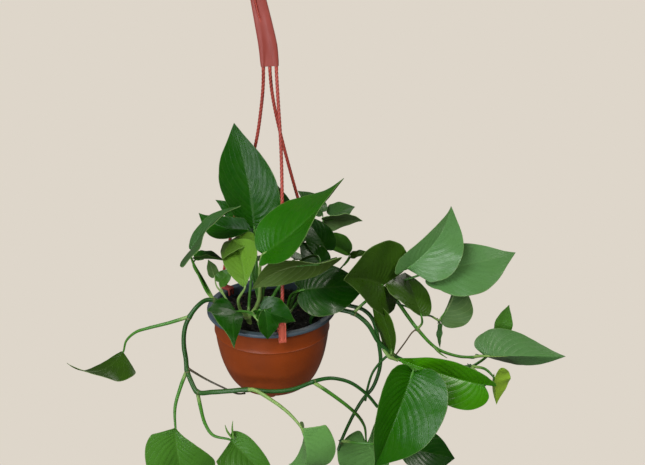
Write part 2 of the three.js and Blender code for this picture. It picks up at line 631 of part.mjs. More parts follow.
        stalk: [[167, -32, -15], [171, -38, -5]], stalkRadius: 1.2 },
      { base: [192, -26, -7], tip: [215, -2, 37], face: [0.21, 0.86, -0.47], width: 42,
        skew: -0.4, fold: [5, 75], twist: -25, curl: -0.07, bow: 0.03,
        stalk: [[184, -27, -2]], stalkRadius: 1 },
      { base: [194, -26, -13], tip: [194, -31, -40], face: [-0.76, -0.64, 0.08], width: 8,
        stalk: [[192, -25, -9]], stalkRadius: 0.8 },
      { base: [246, -32, -50], tip: [337, -40, -46], face: [-0.13, -0.8, 0.59], width: 69,
        fold: [-25, -75], twist: 45, bow: 0, lobes: [1.5, 1], oval: [0.1, -0.1],
        stalk: [[232, -32, -52], [239, -31, -51]], stalkRadius: 1.5 },
    ],
  },
  vine_right_back: {
    stems: [
      { path: [[54, -8, -32], [54, -8, -20], [54, -8, -5], [60, -12, 4], [74, -18, 10], [92, -22, 9],
          [106, -26, 6], [116, -29, -4], [124, -31, -36], [126, -33, -61], [118, -35, -90],
          [106, -37, -106], [95, -40, -126], [82, -44, -157], [78, -46, -170]],
        radii: [2.3, 2.3, 1.8] },
    ],
    leaves: [
      { base: [154, -50, -163], tip: [219, -38, -188], face: [0.1, -0.78, 0.62], width: 53,
        fold: [20, 20], oval: [0.4, 0.6],
        stalk: [[82, -44.5, -158], [100, -55, -153], [118, -60, -151], [138, -55, -158]] },
    ],
  },
  stem_back_crown: {
    stems: [{ path: [[-14, 26, -34], [-14, 26, -10], [-14, 28, 8]], radii: [3, 3, 2.4] }],
    leaves: [
      { base: [-18, 50, 66], tip: [-34, 104, 90], face: [-0.2, -0.3, 0.95], width: 50,
        stalk: [[-14, 27, 4], [-21, 32, 38]] },
      { base: [10, 46, 58], tip: [26, 100, 66], face: [0.1, -0.15, 0.97], width: 56,
        stalk: [[-14, 27, 4], [-2, 36, 34]] },
      { base: [-30, 50, 28], tip: [-50, 100, 2], face: [-0.3, 0.4, 0.87], width: 50,
        stalk: [[-14, 27, 4], [-22, 40, 20]] },
      { base: [26, 60, 32], tip: [48, 106, 8], face: [0.3, 0.4, 0.87], width: 46,
        stalk: [[-14, 27, 4], [10, 44, 26]] },
    ],
  },
  vine_back: {
    stems: [
      { path: [[10, 30, -34], [10, 30, -20], [10, 30, -7], [9, 40, 7], [7, 62, 14], [4, 84, 10],
          [-2, 95, -12], [2, 100, -46], [-3, 102, -80], [3, 104, -112]],
        radii: [2.6, 2.5, 1.7] },
    ],
    leaves: [
      { base: [-14, 102, -22], tip: [-46, 122, -70], face: [-0.3, 0.85, 0.45], width: 48,
        stalk: [[-2, 95, -12], [-7, 99, -13]] },
      { base: [14, 106, -54], tip: [44, 120, -104], face: [0.3, 0.85, 0.4], width: 46,
        stalk: [[2, 100, -46], [8, 104, -46]] },
      { base: [-14, 107, -90], tip: [-38, 114, -136], face: [-0.25, 0.9, 0.35], width: 42,
        stalk: [[-3, 102, -80], [-9, 106, -81]] },
      { base: [5, 106, -124], tip: [12, 114, -172], face: [0.1, 0.95, 0.3], width: 38,
        stalk: [[3, 104, -112]] },
    ],
  },
};

const stemHoles = Object.values(leafyStems).map(({ stems: [{ path, radii }] }) => ({
  x: path[0][0],
  y: path[0][1],
  radius: radii[0] + 0.9,
  depth: soil.level - path[0][2] + seat,
}));

// The whole object hangs from the origin, with the pot's rim plane hangDrop below it.
const hanging = new THREE.Group();
hanging.position.z = -hangDrop;
hanging.add(meshOf("pot", potSolid(), terracotta));
hanging.add(meshOf("soil", soilSolid(stemHoles), pottingSoil));
hanging.add(meshOf("hanger_hook", hookSolid(), hangerRed));
for (const [name, strand] of Object.entries(strands)) {
  hanging.add(meshOf(name, strandSolid(strand), hangerRed));
}
for (const [name, stem] of Object.entries(leafyStems)) {
  hanging.add(meshOf(name, leafyStem(stem), name.startsWith("vine") ? stemGreen : leafGreen));
}

const pothos = new THREE.Group();
pothos.add(hanging);
export default pothos;
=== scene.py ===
import math
import random

import bmesh
import bpy
from mathutils import Matrix, Vector, noise


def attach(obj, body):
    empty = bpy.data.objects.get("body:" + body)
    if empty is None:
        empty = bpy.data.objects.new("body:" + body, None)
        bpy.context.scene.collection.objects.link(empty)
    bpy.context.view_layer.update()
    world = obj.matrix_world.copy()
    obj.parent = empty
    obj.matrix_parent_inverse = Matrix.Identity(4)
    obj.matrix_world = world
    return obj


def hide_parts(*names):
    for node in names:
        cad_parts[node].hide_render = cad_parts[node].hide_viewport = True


# A pothos in a hanging pot. Pieces are made in millimetres from the centre of the pot's rim
# and moved into the frame, whose origin is the saddle of the hook.

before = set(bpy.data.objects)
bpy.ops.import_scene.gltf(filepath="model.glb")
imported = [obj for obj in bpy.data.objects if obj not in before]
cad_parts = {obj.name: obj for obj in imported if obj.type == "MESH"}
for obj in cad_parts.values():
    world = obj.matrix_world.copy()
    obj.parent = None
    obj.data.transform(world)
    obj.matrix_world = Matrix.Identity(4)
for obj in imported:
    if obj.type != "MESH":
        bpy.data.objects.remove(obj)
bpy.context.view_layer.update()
scene = bpy.context.scene
mm = 0.001
hangDrop = 412  # from the hook's saddle down to the pot's rim
rimPlace = Matrix.Translation((0, 0, -hangDrop * mm)) @ Matrix.Scale(mm, 4)


# Camera, backdrop and light

studio = dict(
    cameraAt=(0.0592, -0.8502, 0.0119), cameraTilt=68.57, lens=45.27,
    backdrop="#ded6ca", floorLevel=-0.9,
    skyLight=0.2,
    lamps=[  # place, target, size, watts, colour
        ((-0.84, -1.8, -0.5), (0, 0, -0.4), 0.9, 20, "#f4f8ff"),
        ((-0.76, -1.1, 0.8), (0, 0, -0.4), 0.9, 27, "#f8fbff"),
        ((1.2, -0.7, 0.7), (0.1, 0, -0.45), 0.3, 13, "#fffaf0"),
        ((0.5, 1.7, 0.5), (0, 0, -0.4), 1.4, 14, "#fbf6ee"),
    ],
)


def linear(hexColour):
    channels = [int(hexColour[i:i + 2], 16) / 255 for i in (1, 3, 5)]
    return [c / 12.92 if c <= 0.04045 else ((c + 0.055) / 1.055) ** 2.4 for c in channels] + [1.0]


def addNode(tree, kind, inputs={}, **settings):
    # inputs: by name or number, each a plain value or the output of another node
    node = tree.nodes.new(kind)
    for name, value in settings.items():
        setattr(node, name, value)
    for key, value in inputs.items():
        if isinstance(value, bpy.types.NodeSocket):
            tree.links.new(value, node.inputs[key])
        else:
            node.inputs[key].default_value = value
    return node


def makeStage():
    camera = bpy.data.cameras.new("camera")
    camera.lens = studio["lens"]
    camera.sensor_width = 36
    camera.clip_start = 0.05
    eye = bpy.data.objects.new("camera", camera)
    eye.location = studio["cameraAt"]
    eye.rotation_euler = (math.radians(studio["cameraTilt"]), 0, 0)
    scene.collection.objects.link(eye)
    scene.camera = eye

    world = bpy.data.worlds.new("paleStudio")
    scene.world = world
    world.use_nodes = True
    tree = world.node_tree
    tree.nodes.clear()
    wall = linear(studio["backdrop"])
    lighting = addNode(tree, "ShaderNodeBackground", {"Color": wall, "Strength": studio["skyLight"]})
    shown = addNode(tree, "ShaderNodeBackground", {"Color": wall, "Strength": 1.0})
    path = addNode(tree, "ShaderNodeLightPath")
    either = addNode(tree, "ShaderNodeMixShader",
                     {0: path.outputs["Is Camera Ray"], 1: lighting.outputs[0], 2: shown.outputs[0]})
    addNode(tree, "ShaderNodeOutputWorld", {"Surface": either.outputs[0]})

    # a floor painted and lit so evenly that it runs into the wall behind it
    bm = bmesh.new()
    bmesh.ops.create_circle(bm, cap_ends=True, segments=96, radius=30)
    bmesh.ops.translate(bm, verts=bm.verts, vec=(0, 0, studio["floorLevel"]))
    mesh = bpy.data.meshes.new("floor")
    bm.to_mesh(mesh)
    bm.free()
    floor = bpy.data.objects.new("floor", mesh)
    scene.collection.objects.link(floor)
    paint = bpy.data.materials.new("matteStudioPaint")
    paint.use_nodes = True
    tree = paint.node_tree
    tree.nodes.clear()
    seen = addNode(tree, "ShaderNodeEmission", {"Color": wall, "Strength": 1.0})
    glow = addNode(tree, "ShaderNodeEmission", {"Color": wall, "Strength": studio["skyLight"]})
    path = addNode(tree, "ShaderNodeLightPath")
    either = addNode(tree, "ShaderNodeMixShader",
                     {0: path.outputs["Is Camera Ray"], 1: glow.outputs[0], 2: seen.outputs[0]})
    addNode(tree, "ShaderNodeOutputMaterial", {"Surface": either.outputs[0]})
    mesh.materials.append(paint)

    for i, (place, target, size, watts, colour) in enumerate(studio["lamps"]):
        lamp = bpy.data.lights.new(f"softbox{i}", "AREA")
        lamp.size = size
        lamp.energy = watts
        lamp.color = linear(colour)[:3]
        box = bpy.data.objects.new(f"softbox{i}", lamp)
        box.location = place
        aim = Vector(target) - Vector(place)
        box.rotation_euler = aim.to_track_quat("-Z", "Y").to_euler()
        scene.collection.objects.link(box)
    scene.view_settings.view_transform = "Standard"


makeStage()
print("stage, camera and lights")


# Shared geometry

def lerp(a, b, t):
    return a + (b - a) * t


def lineThrough(points, t):
    # a centripetal Catmull-Rom line through the points, t from 0 to 1
    last = len(points) - 1
    i = min(int(last * t), last - 1)
    w = last * t - i
    p1, p2 = points[i], points[i + 1]
    p0 = points[i - 1] if i > 0 else 2 * p1 - p2
    p3 = points[i + 2] if i + 2 <= last else 2 * p2 - p1
    d1 = max((p2 - p1).length ** 0.5, 0.01)
    d0 = (p1 - p0).length ** 0.5
    d2 = (p3 - p2).length ** 0.5
    d0 = d0 if d0 > 0.01 else d1
    d2 = d2 if d2 > 0.01 else d1
    m1 = ((p1 - p0) / d0 - (p2 - p0) / (d0 + d1) + (p2 - p1) / d1) * d1
    m2 = ((p2 - p1) / d1 - (p3 - p1) / (d1 + d2) + (p3 - p2) / d2) * d1
    return p1 + m1 * w + (3 * (p2 - p1) - 2 * m1 - m2) * w * w + (2 * (p1 - p2) + m1 + m2) * w ** 3


def framesAlong(points, count, firstNormal):
    # count + 1 places on the line, with a normal that is carried along without twist
    centres = [lineThrough(points, i / count) for i in range(count + 1)]
    normal = Vector(firstNormal)
    length = 0
    result = []
    for i, centre in enumerate(centres):
        tangent = (centres[min(i + 1, count)] - centres[max(i - 1, 0)]).normalized()
        normal = (normal - tangent * normal.dot(tangent)).normalized()
        if i:
            length += (centre - centres[i - 1]).length
        result.append((centre, normal, tangent.cross(normal), length))
    return result


def sweep(bm, line, sides, section, layer=None):
    # a grid rolled into a closed tube; section(length along, turn) gives its place off the line
    # and a third value for the layer
    grid = bmesh.ops.create_grid(bm, x_segments=sides, y_segments=len(line) - 1, size=1, calc_uvs=True)
    verts = grid["verts"]
    count = len(line) - 1
    for vert in verts:
        turn = (vert.co.x + 1) * math.pi
        row = round((vert.co.y + 1) / 2 * count)
        centre, normal, binormal, length = line[row]
        place = section(length, turn)
        vert.co = centre + normal * place[0] + binormal * place[1]
        if layer:
            vert[layer] = place[2]
    bmesh.ops.remove_doubles(bm, verts=verts, dist=1e-4)
    kept = [v for v in verts if v.is_valid]
    ends = dict.fromkeys(e for v in kept for e in v.link_edges if e.is_boundary)
    bmesh.ops.edgeloop_fill(bm, edges=list(ends))
    return kept


def facesAround(verts):
    # each face at these verts once, in the mesh's own order; a set's would change with each run
    return list(dict.fromkeys(face for vert in verts for face in vert.link_faces))


def addPiece(name, bm, materials, slot, *nodes, sharpAngle=42):
    bmesh.ops.transform(bm, matrix=rimPlace, verts=bm.verts)
    mesh = bpy.data.meshes.new(name)
    bm.to_mesh(mesh)
    bm.free()
    for material in materials:
        mesh.materials.append(material)
    mesh.shade_smooth()
    mesh.set_sharp_from_angle(angle=math.radians(sharpAngle))
    piece = bpy.data.objects.new(name, mesh)
    scene.collection.objects.link(piece)
    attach(piece, "root")
    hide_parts(*nodes)
    return piece


def combined(bm, tools, operation):
    # the solid cut by or joined with the tools, as a new bmesh
    solids = []
    for source in [bm] + tools:
        mesh = bpy.data.meshes.new("solid")
        source.to_mesh(mesh)
        source.free()
        solids.append(bpy.data.objects.new("solid", mesh))
        scene.collection.objects.link(solids[-1])
    for helper in solids[1:]:
        modifier = solids[0].modifiers.new("combine", "BOOLEAN")
        modifier.operation = operation
        modifier.solver = "EXACT"
        modifier.object = helper
    bpy.context.view_layer.update()
    evaluated = solids[0].evaluated_get(bpy.context.evaluated_depsgraph_get())
    result = bmesh.new()
    result.from_mesh(evaluated.to_mesh())
    evaluated.to_mesh_clear()
    for solid in solids:
        bpy.data.objects.remove(solid)
    return result


def newMaterial(name):
    material = bpy.data.materials.new(name)
    material.use_nodes = True
    material.node_tree.nodes.clear()
    return material, material.node_tree


# Pot

pot = dict(
    sides=144,
    lipRadius=75, floor=2.4, height=101,
    footHeight=2.6, feet=6, footRadius=4.5, footCircle=35,
    drainHoles=6, drainRadius=4, drainCircle=26,
    outerWall=[(69.3, -4.8), (68.1, -12), (67.2, -26.2), (67.6, -27), (67.0, -27.8), (65.1, -42),
               (61.2, -62), (55, -80), (50.8, -88), (45.5, -95), (40, -98.4)],
    innerWall=[(38.4, -96), (49.9, -86), (58.9, -63), (64.6, -33), (66.9, -9), (67, -3.4)],
    # each plastic: two shades, roughness, size of the dust specks and how much they show
    terracotta=("#87390e", "#763007", 0.44, 3.5, 0.10),
    rim=("#475660", "#3a4650", 0.42, 3.0, 0.12),
    dust="#c0a48e", paintedGrooveShade="#3a120c",
)


def mouldedPlastic(name, base, shade, roughness, speckMm, dust):
    # injection-moulded polypropylene: a satin skin, cloudy flow marks, fine dust, and a faint grain
    # that is drawn coarser than the real one so that it shows. Where the groove attribute is high, in
    # the hollows of a twist, the colour is darkened as painted shade.
    material, tree = newMaterial(name)
    place = addNode(tree, "ShaderNodeTexCoord").outputs["Object"]
    groove = addNode(tree, "ShaderNodeAttribute", attribute_name="groove").outputs["Fac"]
    flow = addNode(tree, "ShaderNodeTexNoise", {"Vector": place, "Scale": 1 / (35 * mm), "Detail": 3})
    fine = addNode(tree, "ShaderNodeTexNoise", {"Vector": place, "Scale": 1 / (speckMm * mm), "Detail": 4,
                                                "Roughness": 0.7})
    grain = addNode(tree, "ShaderNodeTexNoise", {"Vector": place, "Scale": 1 / (0.7 * mm), "Detail": 2})
    cloud = addNode(tree, "ShaderNodeMapRange", {"Value": flow.outputs["Fac"], "From Min": 0.3,
                                                 "From Max": 0.7})
    colour = addNode(tree, "ShaderNodeMix", {0: cloud.outputs[0], 6: linear(base), 7: linear(shade)},
                     data_type="RGBA")
    specks = addNode(tree, "ShaderNodeMapRange", {"Value": fine.outputs["Fac"], "From Min": 0.62,
                                                  "From Max": 0.8, "To Max": dust})
    colour = addNode(tree, "ShaderNodeMix", {0: specks.outputs[0], 6: colour.outputs[2],
                                             7: linear(pot["dust"])}, data_type="RGBA")
    # painted shade: the colour darkens in the grooves of a twist
    deep = addNode(tree, "ShaderNodeMath", {0: groove, 1: 0.75}, operation="MULTIPLY")
    colour = addNode(tree, "ShaderNodeMix", {0: deep.outputs[0], 6: colour.outputs[2],
                                             7: linear(pot["paintedGrooveShade"])}, data_type="RGBA")
    satin = addNode(tree, "ShaderNodeMapRange", {"Value": flow.outputs["Fac"], "From Min": 0.3,
                                                 "From Max": 0.7, "To Min": roughness - 0.05,
                                                 "To Max": roughness + 0.07})
    bump = addNode(tree, "ShaderNodeBump", {"Strength": 0.12, "Distance": 0.15 * mm,
                                            "Height": grain.outputs["Fac"]})
    surface = addNode(tree, "ShaderNodeBsdfPrincipled",
                      {"Base Color": colour.outputs[2], "Roughness": satin.outputs[0], "IOR": 1.49,
                       "Specular IOR Level": 0.35, "Normal": bump.outputs["Normal"]})
    addNode(tree, "ShaderNodeOutputMaterial", {"Surface": surface.outputs[0]})
    return material


def rounded(points, steps):
    # a profile of (radius, height) with smooth bends
    line = [Vector((r, 0, z)) for r, z in points]
    count = (len(line) - 1) * steps
    return [(p.x, p.z) for p in (lineThrough(line, i / count) for i in range(count + 1))]


def standing(radius, low, high, x, y):
    bm = bmesh.new()
    bmesh.ops.create_cone(bm, cap_ends=True, segments=32, radius1=radius, radius2=radius,
                          depth=high - low)
    bmesh.ops.translate(bm, verts=bm.verts, vec=(x, y, (low + high) / 2))
    return bm


def makePot():
    lip = pot["lipRadius"]
    upper = rounded([(67, -3.4), (67.2, -1.2), (67.9, -0.25), (69, 0)], 3)
    outside = rounded([(73.6, 0), (74.6, -0.35), (lip, -1.1)], 3) + \
        rounded([(lip, -3.3), (lip - 0.3, -3.85), (lip - 0.9, -4)], 3)
    under = -pot["height"] + pot["footHeight"]
    profile = [(0, under)] + rounded(pot["outerWall"][3:], 4)[::-1] + \
        rounded(pot["outerWall"][:4], 3)[::-1] + outside[::-1] + upper[::-1] + \
        rounded(pot["innerWall"], 4)[::-1] + [(0, under + pot["floor"])]
    bm = bmesh.new()
    points = [bm.verts.new((r, 0, z)) for r, z in profile]
    edges = [bm.edges.new(pair) for pair in zip(points, points[1:])]
    bmesh.ops.spin(bm, geom=points + edges, cent=(0, 0, 0), axis=(0, 0, 1), dvec=(0, 0, 0),
                   angle=2 * math.pi, steps=pot["sides"], use_merge=True, use_duplicate=False)
    bmesh.ops.remove_doubles(bm, verts=bm.verts, dist=1e-3)
    bmesh.ops.recalc_face_normals(bm, faces=bm.faces)
    feet, drains = [], []
    for i in range(pot["feet"]):
        turn = (i + 0.5) / pot["feet"] * 2 * math.pi
        reach = pot["footCircle"]
        foot = standing(pot["footRadius"], -pot["height"], under + 0.6,
                        reach * math.cos(turn), reach * math.sin(turn))
        low = [e for e in foot.edges if all(v.co.z < -pot["height"] + 0.1 for v in e.verts)]
        bmesh.ops.bevel(foot, geom=low, offset=0.7, segments=2, profile=0.5, affect="EDGES", material=-1)
        feet.append(foot)
    for i in range(pot["drainHoles"]):
        turn = i / pot["drainHoles"] * 2 * math.pi
        reach = pot["drainCircle"]
        drains.append(standing(pot["drainRadius"], under - 1, under + pot["floor"] + 1,
                               reach * math.cos(turn), reach * math.sin(turn)))
    bm = combined(combined(bm, feet, "UNION"), drains, "DIFFERENCE")
    # the lip and the inner wall are the second, grey shot of the moulding
    for face in bm.faces:
        centre = face.calc_center_median()
        outwards = face.normal.x * centre.x + face.normal.y * centre.y
        face.material_index = 1 if centre.z > -4.05 or (outwards < 0 and centre.z > -95) else 0
    addPiece("pot_shell", bm, [
        mouldedPlastic("terracottaPolypropylene", *pot["terracotta"]),
        mouldedPlastic("greyBluePolypropylene", *pot["rim"]),
    ], "pot_plastic", "pot")


makePot()
print("pot")


# Soil

soil = dict(
    level=-11, lumps=2.2, edge=66.1, cells=150,
    wallSide=[(66.1, -14), (64.3, -33), (58.6, -63), (49.6, -86), (38.1, -95.7)],
    crumbs=[  # how many, their colours, smallest and largest radius
        (420, ["#080604", "#100c09", "#1c1510"], 0.8, 2.2),
        (45, ["#3c2a1c", "#4a3422", "#2c1f16"], 1.0, 2.6),
        (38, ["#a8a496", "#8c887c", "#6f6b60"], 0.6, 1.3),
    ],
)


def soilHeight(x, y):
    low = math.sin(x * 0.21 + 1) * math.cos(y * 0.17) + 0.5 * math.sin(x * 0.11 - y * 0.13)
    rough = noise.noise(Vector((x, y, 0)) * 0.16) * 1.4 + noise.noise(Vector((x, y, 7)) * 0.55) * 0.9
    inner = min(1, (soil["edge"] - math.hypot(x, y)) / 8)
    return soil["level"] + inner * (soil["lumps"] * low + rough) - 0.5 * (1 - inner)


def moistPeat():
    # black peat mix, sieved and watered: soaks up light, its damp crumbs glint a little
    material, tree = newMaterial("moistPeat")
    place = addNode(tree, "ShaderNodeTexCoord").outputs["Object"]
    clods = addNode(tree, "ShaderNodeTexNoise", {"Vector": place, "Scale": 1 / (2.5 * mm), "Detail": 5,
                                                 "Roughness": 0.7})
    fibres = addNode(tree, "ShaderNodeTexNoise", {"Vector": place, "Scale": 1 / (1.2 * mm), "Detail": 5,
                                                  "Roughness": 0.75})
    lighter = addNode(tree, "ShaderNodeMapRange", {"Value": clods.outputs["Fac"], "From Min": 0.4,
                                                   "From Max": 0.75})
    colour = addNode(tree, "ShaderNodeMix", {0: lighter.outputs[0], 6: linear("#080605"),
                                             7: linear("#1f1812")}, data_type="RGBA")
    bump = addNode(tree, "ShaderNodeBump", {"Strength": 0.9, "Distance": 1.2 * mm,
                                            "Height": fibres.outputs["Fac"]})
    surface = addNode(tree, "ShaderNodeBsdfPrincipled",
                      {"Base Color": colour.outputs[2], "Roughness": 0.82, "Specular IOR Level": 0.25,
                       "Normal": bump.outputs["Normal"]})
    addNode(tree, "ShaderNodeOutputMaterial", {"Surface": surface.outputs[0]})
    return material


def looseCrumbs():
    # crumbs on the soil: each takes its own tone from an attribute, from peat over bark to perlite
    material, tree = newMaterial("peatBarkAndPerlite")
    place = addNode(tree, "ShaderNodeTexCoord").outputs["Object"]
    tone = addNode(tree, "ShaderNodeAttribute", attribute_name="tone").outputs["Color"]
    pits = addNode(tree, "ShaderNodeTexNoise", {"Vector": place, "Scale": 1 / (0.8 * mm), "Detail": 3,
                                                "Roughness": 0.7})
    stained = addNode(tree, "ShaderNodeMapRange", {"Value": pits.outputs["Fac"], "From Min": 0.4,
                                                   "From Max": 0.7, "To Max": 0.4})
    colour = addNode(tree, "ShaderNodeMix", {0: stained.outputs[0], 6: tone, 7: linear("#1a130e")},
                     data_type="RGBA")
    bump = addNode(tree, "ShaderNodeBump", {"Strength": 0.6, "Distance": 0.4 * mm,
                                            "Height": pits.outputs["Fac"]})
    surface = addNode(tree, "ShaderNodeBsdfPrincipled",
                      {"Base Color": colour.outputs[2], "Roughness": 0.8,
                       "Normal": bump.outputs["Normal"]})
    addNode(tree, "ShaderNodeOutputMaterial", {"Surface": surface.outputs[0]})
    return material


def makeSoil():
    bm = bmesh.new()
    bmesh.ops.create_grid(bm, x_segments=soil["cells"], y_segments=soil["cells"], size=1)
    for vert in bm.verts:
        # the square grid is pressed into a disc
        x, y = vert.co.x, vert.co.y
        a = x * math.sqrt(1 - y * y / 2) * soil["edge"]
        b = y * math.sqrt(1 - x * x / 2) * soil["edge"]
        vert.co = (a, b, soilHeight(a, b))
    for radius, height in soil["wallSide"]:
        rim = [e for e in bm.edges if e.is_boundary]
        grown = bmesh.ops.extrude_edge_only(bm, edges=rim)["geom"]
        for vert in [g for g in grown if isinstance(g, bmesh.types.BMVert)]:
            reach = math.hypot(vert.co.x, vert.co.y)
            vert.co = (vert.co.x / reach * radius, vert.co.y / reach * radius, height)
    bmesh.ops.edgeloop_fill(bm, edges=[e for e in bm.edges if e.is_boundary])
    bmesh.ops.recalc_face_normals(bm, faces=bm.faces)
    addPiece("potting_soil", bm, [moistPeat()], "potting_soil", "soil")

    chance = random.Random(11)
    bm = bmesh.new()
    tone = bm.verts.layers.float_color.new("tone")
    for count, shades, small, large in soil["crumbs"]:
        for _ in range(count):
            reach = (soil["edge"] - 3) * math.sqrt(chance.random())
            turn = chance.random() * 2 * math.pi
            x, y = reach * math.cos(turn), reach * math.sin(turn)
            size = chance.uniform(small, large)
            squash = Matrix.Diagonal((size, size * chance.uniform(0.5, 0.9),
                                      size * chance.uniform(0.4, 0.8), 1))
            spin = Matrix.Rotation(chance.random() * 6.3, 4, "Z") @ \
                Matrix.Rotation(chance.uniform(-0.7, 0.7), 4, "X")
            place = Matrix.Translation((x, y, soilHeight(x, y) + 0.15 * size))
            made = bmesh.ops.create_icosphere(bm, subdivisions=1, radius=1, matrix=place @ spin @ squash)
            shade = linear(chance.choice(shades))
            for vert in made["verts"]:
                vert.co += Vector((chance.uniform(-1, 1), chance.uniform(-1, 1), chance.uniform(-1, 1))) \
                    * 0.18 * size
                vert[tone] = shade
    addPiece("soil_crumbs", bm, [looseCrumbs()], "potting_soil", "soil")


makeSoil()
print("soil")


# Hanger

hanger = dict(
    # each plastic: two shades, roughness, size of the dust specks and how much they show
    coral=("#b04b3e", "#9c3c31", 0.36, 2.5, 0.08), sleeveCoral=("#90423a", "#80352c", 0.5, 2.5, 0.08),
    clipCoral=("#bc5e48", "#ac503e", 0.42, 2.5, 0.08),
    strandRadius=1.9, plies=3, lay=12.6, smoothEnd=9, ropeDepth=0.24,
    depth=7, sleeve=[  # height, middle, half width
        (276.5, 4.3, 9.4), (282, 4.0, 9.7), (296.5, 2.9, 9.8), (320, -1.2, 9.0), (343.5, -5.8, 8.0),
        (362, -9.6, 6.4), (380.5, -12.6, 5.2)],
    webTop=335, webHeight=59, webHalf=6.6, webDepth=1.1,
    crookRadius=16, crookHalf=5, crookCentre=401, tipHalf=4.3, tipDrop=13,
    seam=[(-3.8, -3.6, 322), (-5.4, -3.6, 328), (-7.4, -3.6, 337), (-9.6, -3.6, 347), (-11.4, -3.6, 356)],
    seamHalf=1.5, seamDepth=1.7, bundleRadius=1.25, bundlePlies=2, bundleLay=5.2,
    clipWidth=8, clipPlate=2.6, clipAbove=15, clipBelow=8.4, prongGap=3,
)
# the middle line of each strand and the angle of its clip round the rim
strands = {
    "hanger_strand_front": dict(
        angle=-1.361,
        path=[(11.1, 0, 283), (11.1, -0.3, 272), (12.5, -8, 246), (15.5, -23, 195), (16.6, -40, 140),
              (16.6, -60, 72), (16.1, -75, 22), (16.1, -75.4, 13)]),
    "hanger_strand_right": dict(
        angle=0.743,
        path=[(4.3, 0, 283), (4.3, 0.4, 272), (6, 4, 246), (12.5, 12.8, 205), (30.8, 29, 122),
              (46, 42, 62), (56, 51.4, 22), (56.6, 52.2, 13)]),
    "hanger_strand_left": dict(
        angle=2.496,
        path=[(-2.5, 0, 283), (-2.6, 0.4, 272), (-3.4, 2.4, 256), (-6.4, 8, 232), (-14.5, 15, 188),
              (-38.4, 30, 112), (-60, 45.2, 22), (-61.4, 46.3, 13)]),
}
coralPlastic = mouldedPlastic("coralPolypropylene", *hanger["coral"])
# a deeper red for the sleeve, also put on the two clips behind the plant as painted shade
sleevePlastic = mouldedPlastic("deepCoralAndClipShadePolypropylene", *hanger["sleeveCoral"])
clipPlastic = mouldedPlastic("paleCoralPolypropylene", *hanger["clipCoral"])


def ropeSection(radius, total, smoothEnd, plies, lay):
    def section(length, turn):
        twisted = min(1, max(0, (min(length, total - length) - smoothEnd) / 3))
        ridge = abs(math.sin(plies / 2 * (turn - length / lay * 2 * math.pi)))
        groove = twisted * (1 - ridge) ** 1.2
        reach = radius * (1 - hanger["ropeDepth"] * groove)
        return reach * math.cos(turn), reach * math.sin(turn), groove
    return section


def makeHook():
    # one moulding: flat sleeve, shank and crook, swept along its middle line
    width = hanger["crookHalf"]
    centre = hanger["crookCentre"]
    points = [Vector((x, 0, z)) for z, x, _ in hanger["sleeve"]]
    halves = [half for _, _, half in hanger["sleeve"]]
    points.append(Vector((-15.4, 0, 392)))
    halves.append(width)
    for i in range(13):
        turn = math.radians(180 - 15 * i)
        points.append(Vector((hanger["crookRadius"] * math.cos(turn), 0,
                              centre + hanger["crookRadius"] * math.sin(turn))))
        halves.append(width)
    points.append(Vector((16.6, 0, centre - 6)))
    halves.append(width * 0.98)
    points.append(Vector((17, 0, centre - hanger["tipDrop"] + 0.3)))
    halves.append(hanger["tipHalf"] * 0.6)
    steps = 8
    count = (len(points) - 1) * steps
    line = framesAlong(points, count, (-1, 0, 0))
    atLength = [place[3] for place in line]

    def section(length, turn):
        # a rounded slab; low on the sleeve a flat web lies between two ridges
        row = min(range(len(atLength)), key=lambda i: abs(atLength[i] - length))
        i, w = divmod(row, steps)
        half = lerp(halves[i], halves[min(i + 1, len(halves) - 1)], w / steps)
        height = line[row][0].z
        c, s = math.cos(turn), math.sin(turn)
        power = 0.55
        x = half * math.copysign(abs(c) ** power, c)
        y = hanger["depth"] / 2 * math.copysign(abs(s) ** power, s)
        below = hanger["webTop"] - height
        if below > 0:
            webHalf = hanger["webHalf"] * below / hanger["webHeight"]
            web = max(0.0, min(1.0, webHalf - abs(x))) * min(1, below / 12)
            y -= math.copysign(hanger["webDepth"] * web, s)
        return x, y

    bm = bmesh.new()
    bm.loops.layers.uv.new("UVMap")
    sweep(bm, line, 56, section)
    # the sleeve's open end: a thin wall round a shallow hollow
    mouth = min((f for f in bm.faces if len(f.verts) > 8), key=lambda f: f.calc_center_median().z)
    bmesh.ops.inset_region(bm, faces=[mouth], thickness=1.1, use_even_offset=True)
    bmesh.ops.translate(bm, verts=mouth.verts, vec=(0.6, 0, 6.8))
    bmesh.ops.recalc_face_normals(bm, faces=bm.faces)
    # a seam in the front of the sleeve that shows the bundle inside
    seam = [Vector(p) for p in hanger["seam"]]
    slit = bmesh.new()
    slit.loops.layers.uv.new("UVMap")
    slitLine = framesAlong(seam, 40, (1, 0, 0))
    total = slitLine[-1][3]

    def slitSection(length, turn):
        reach = math.sin(math.pi * min(1, max(0, length / total))) ** 0.4 + 0.04
        jag = 1 + 0.35 * noise.noise(Vector((length * 0.6, math.copysign(3, math.cos(turn)), 0)))
        half, depth = hanger["seamHalf"], hanger["seamDepth"]
        return half * reach * jag * math.cos(turn), depth * reach * math.sin(turn)

    sweep(slit, slitLine, 16, slitSection)
    bmesh.ops.recalc_face_normals(slit, faces=slit.faces)
    bm = combined(bm, [slit], "DIFFERENCE")
    addPiece("hanger_sleeve_and_hook", bm, [sleevePlastic], "hanger_plastic", "hanger_hook", sharpAngle=50)

    bm = bmesh.new()
    bm.loops.layers.uv.new("UVMap")
    groove = bm.verts.layers.float.new("groove")
    inner = framesAlong([p + Vector((-0.3, 1.5, 0)) for p in seam], 60, (1, 0, 0))
    sweep(bm, inner, 20, ropeSection(hanger["bundleRadius"], inner[-1][3], 0, hanger["bundlePlies"],
                                     hanger["bundleLay"]), groove)
    bmesh.ops.recalc_face_normals(bm, faces=bm.faces)
    addPiece("hanger_bundle", bm, [coralPlastic], "hanger_plastic", "hanger_hook")


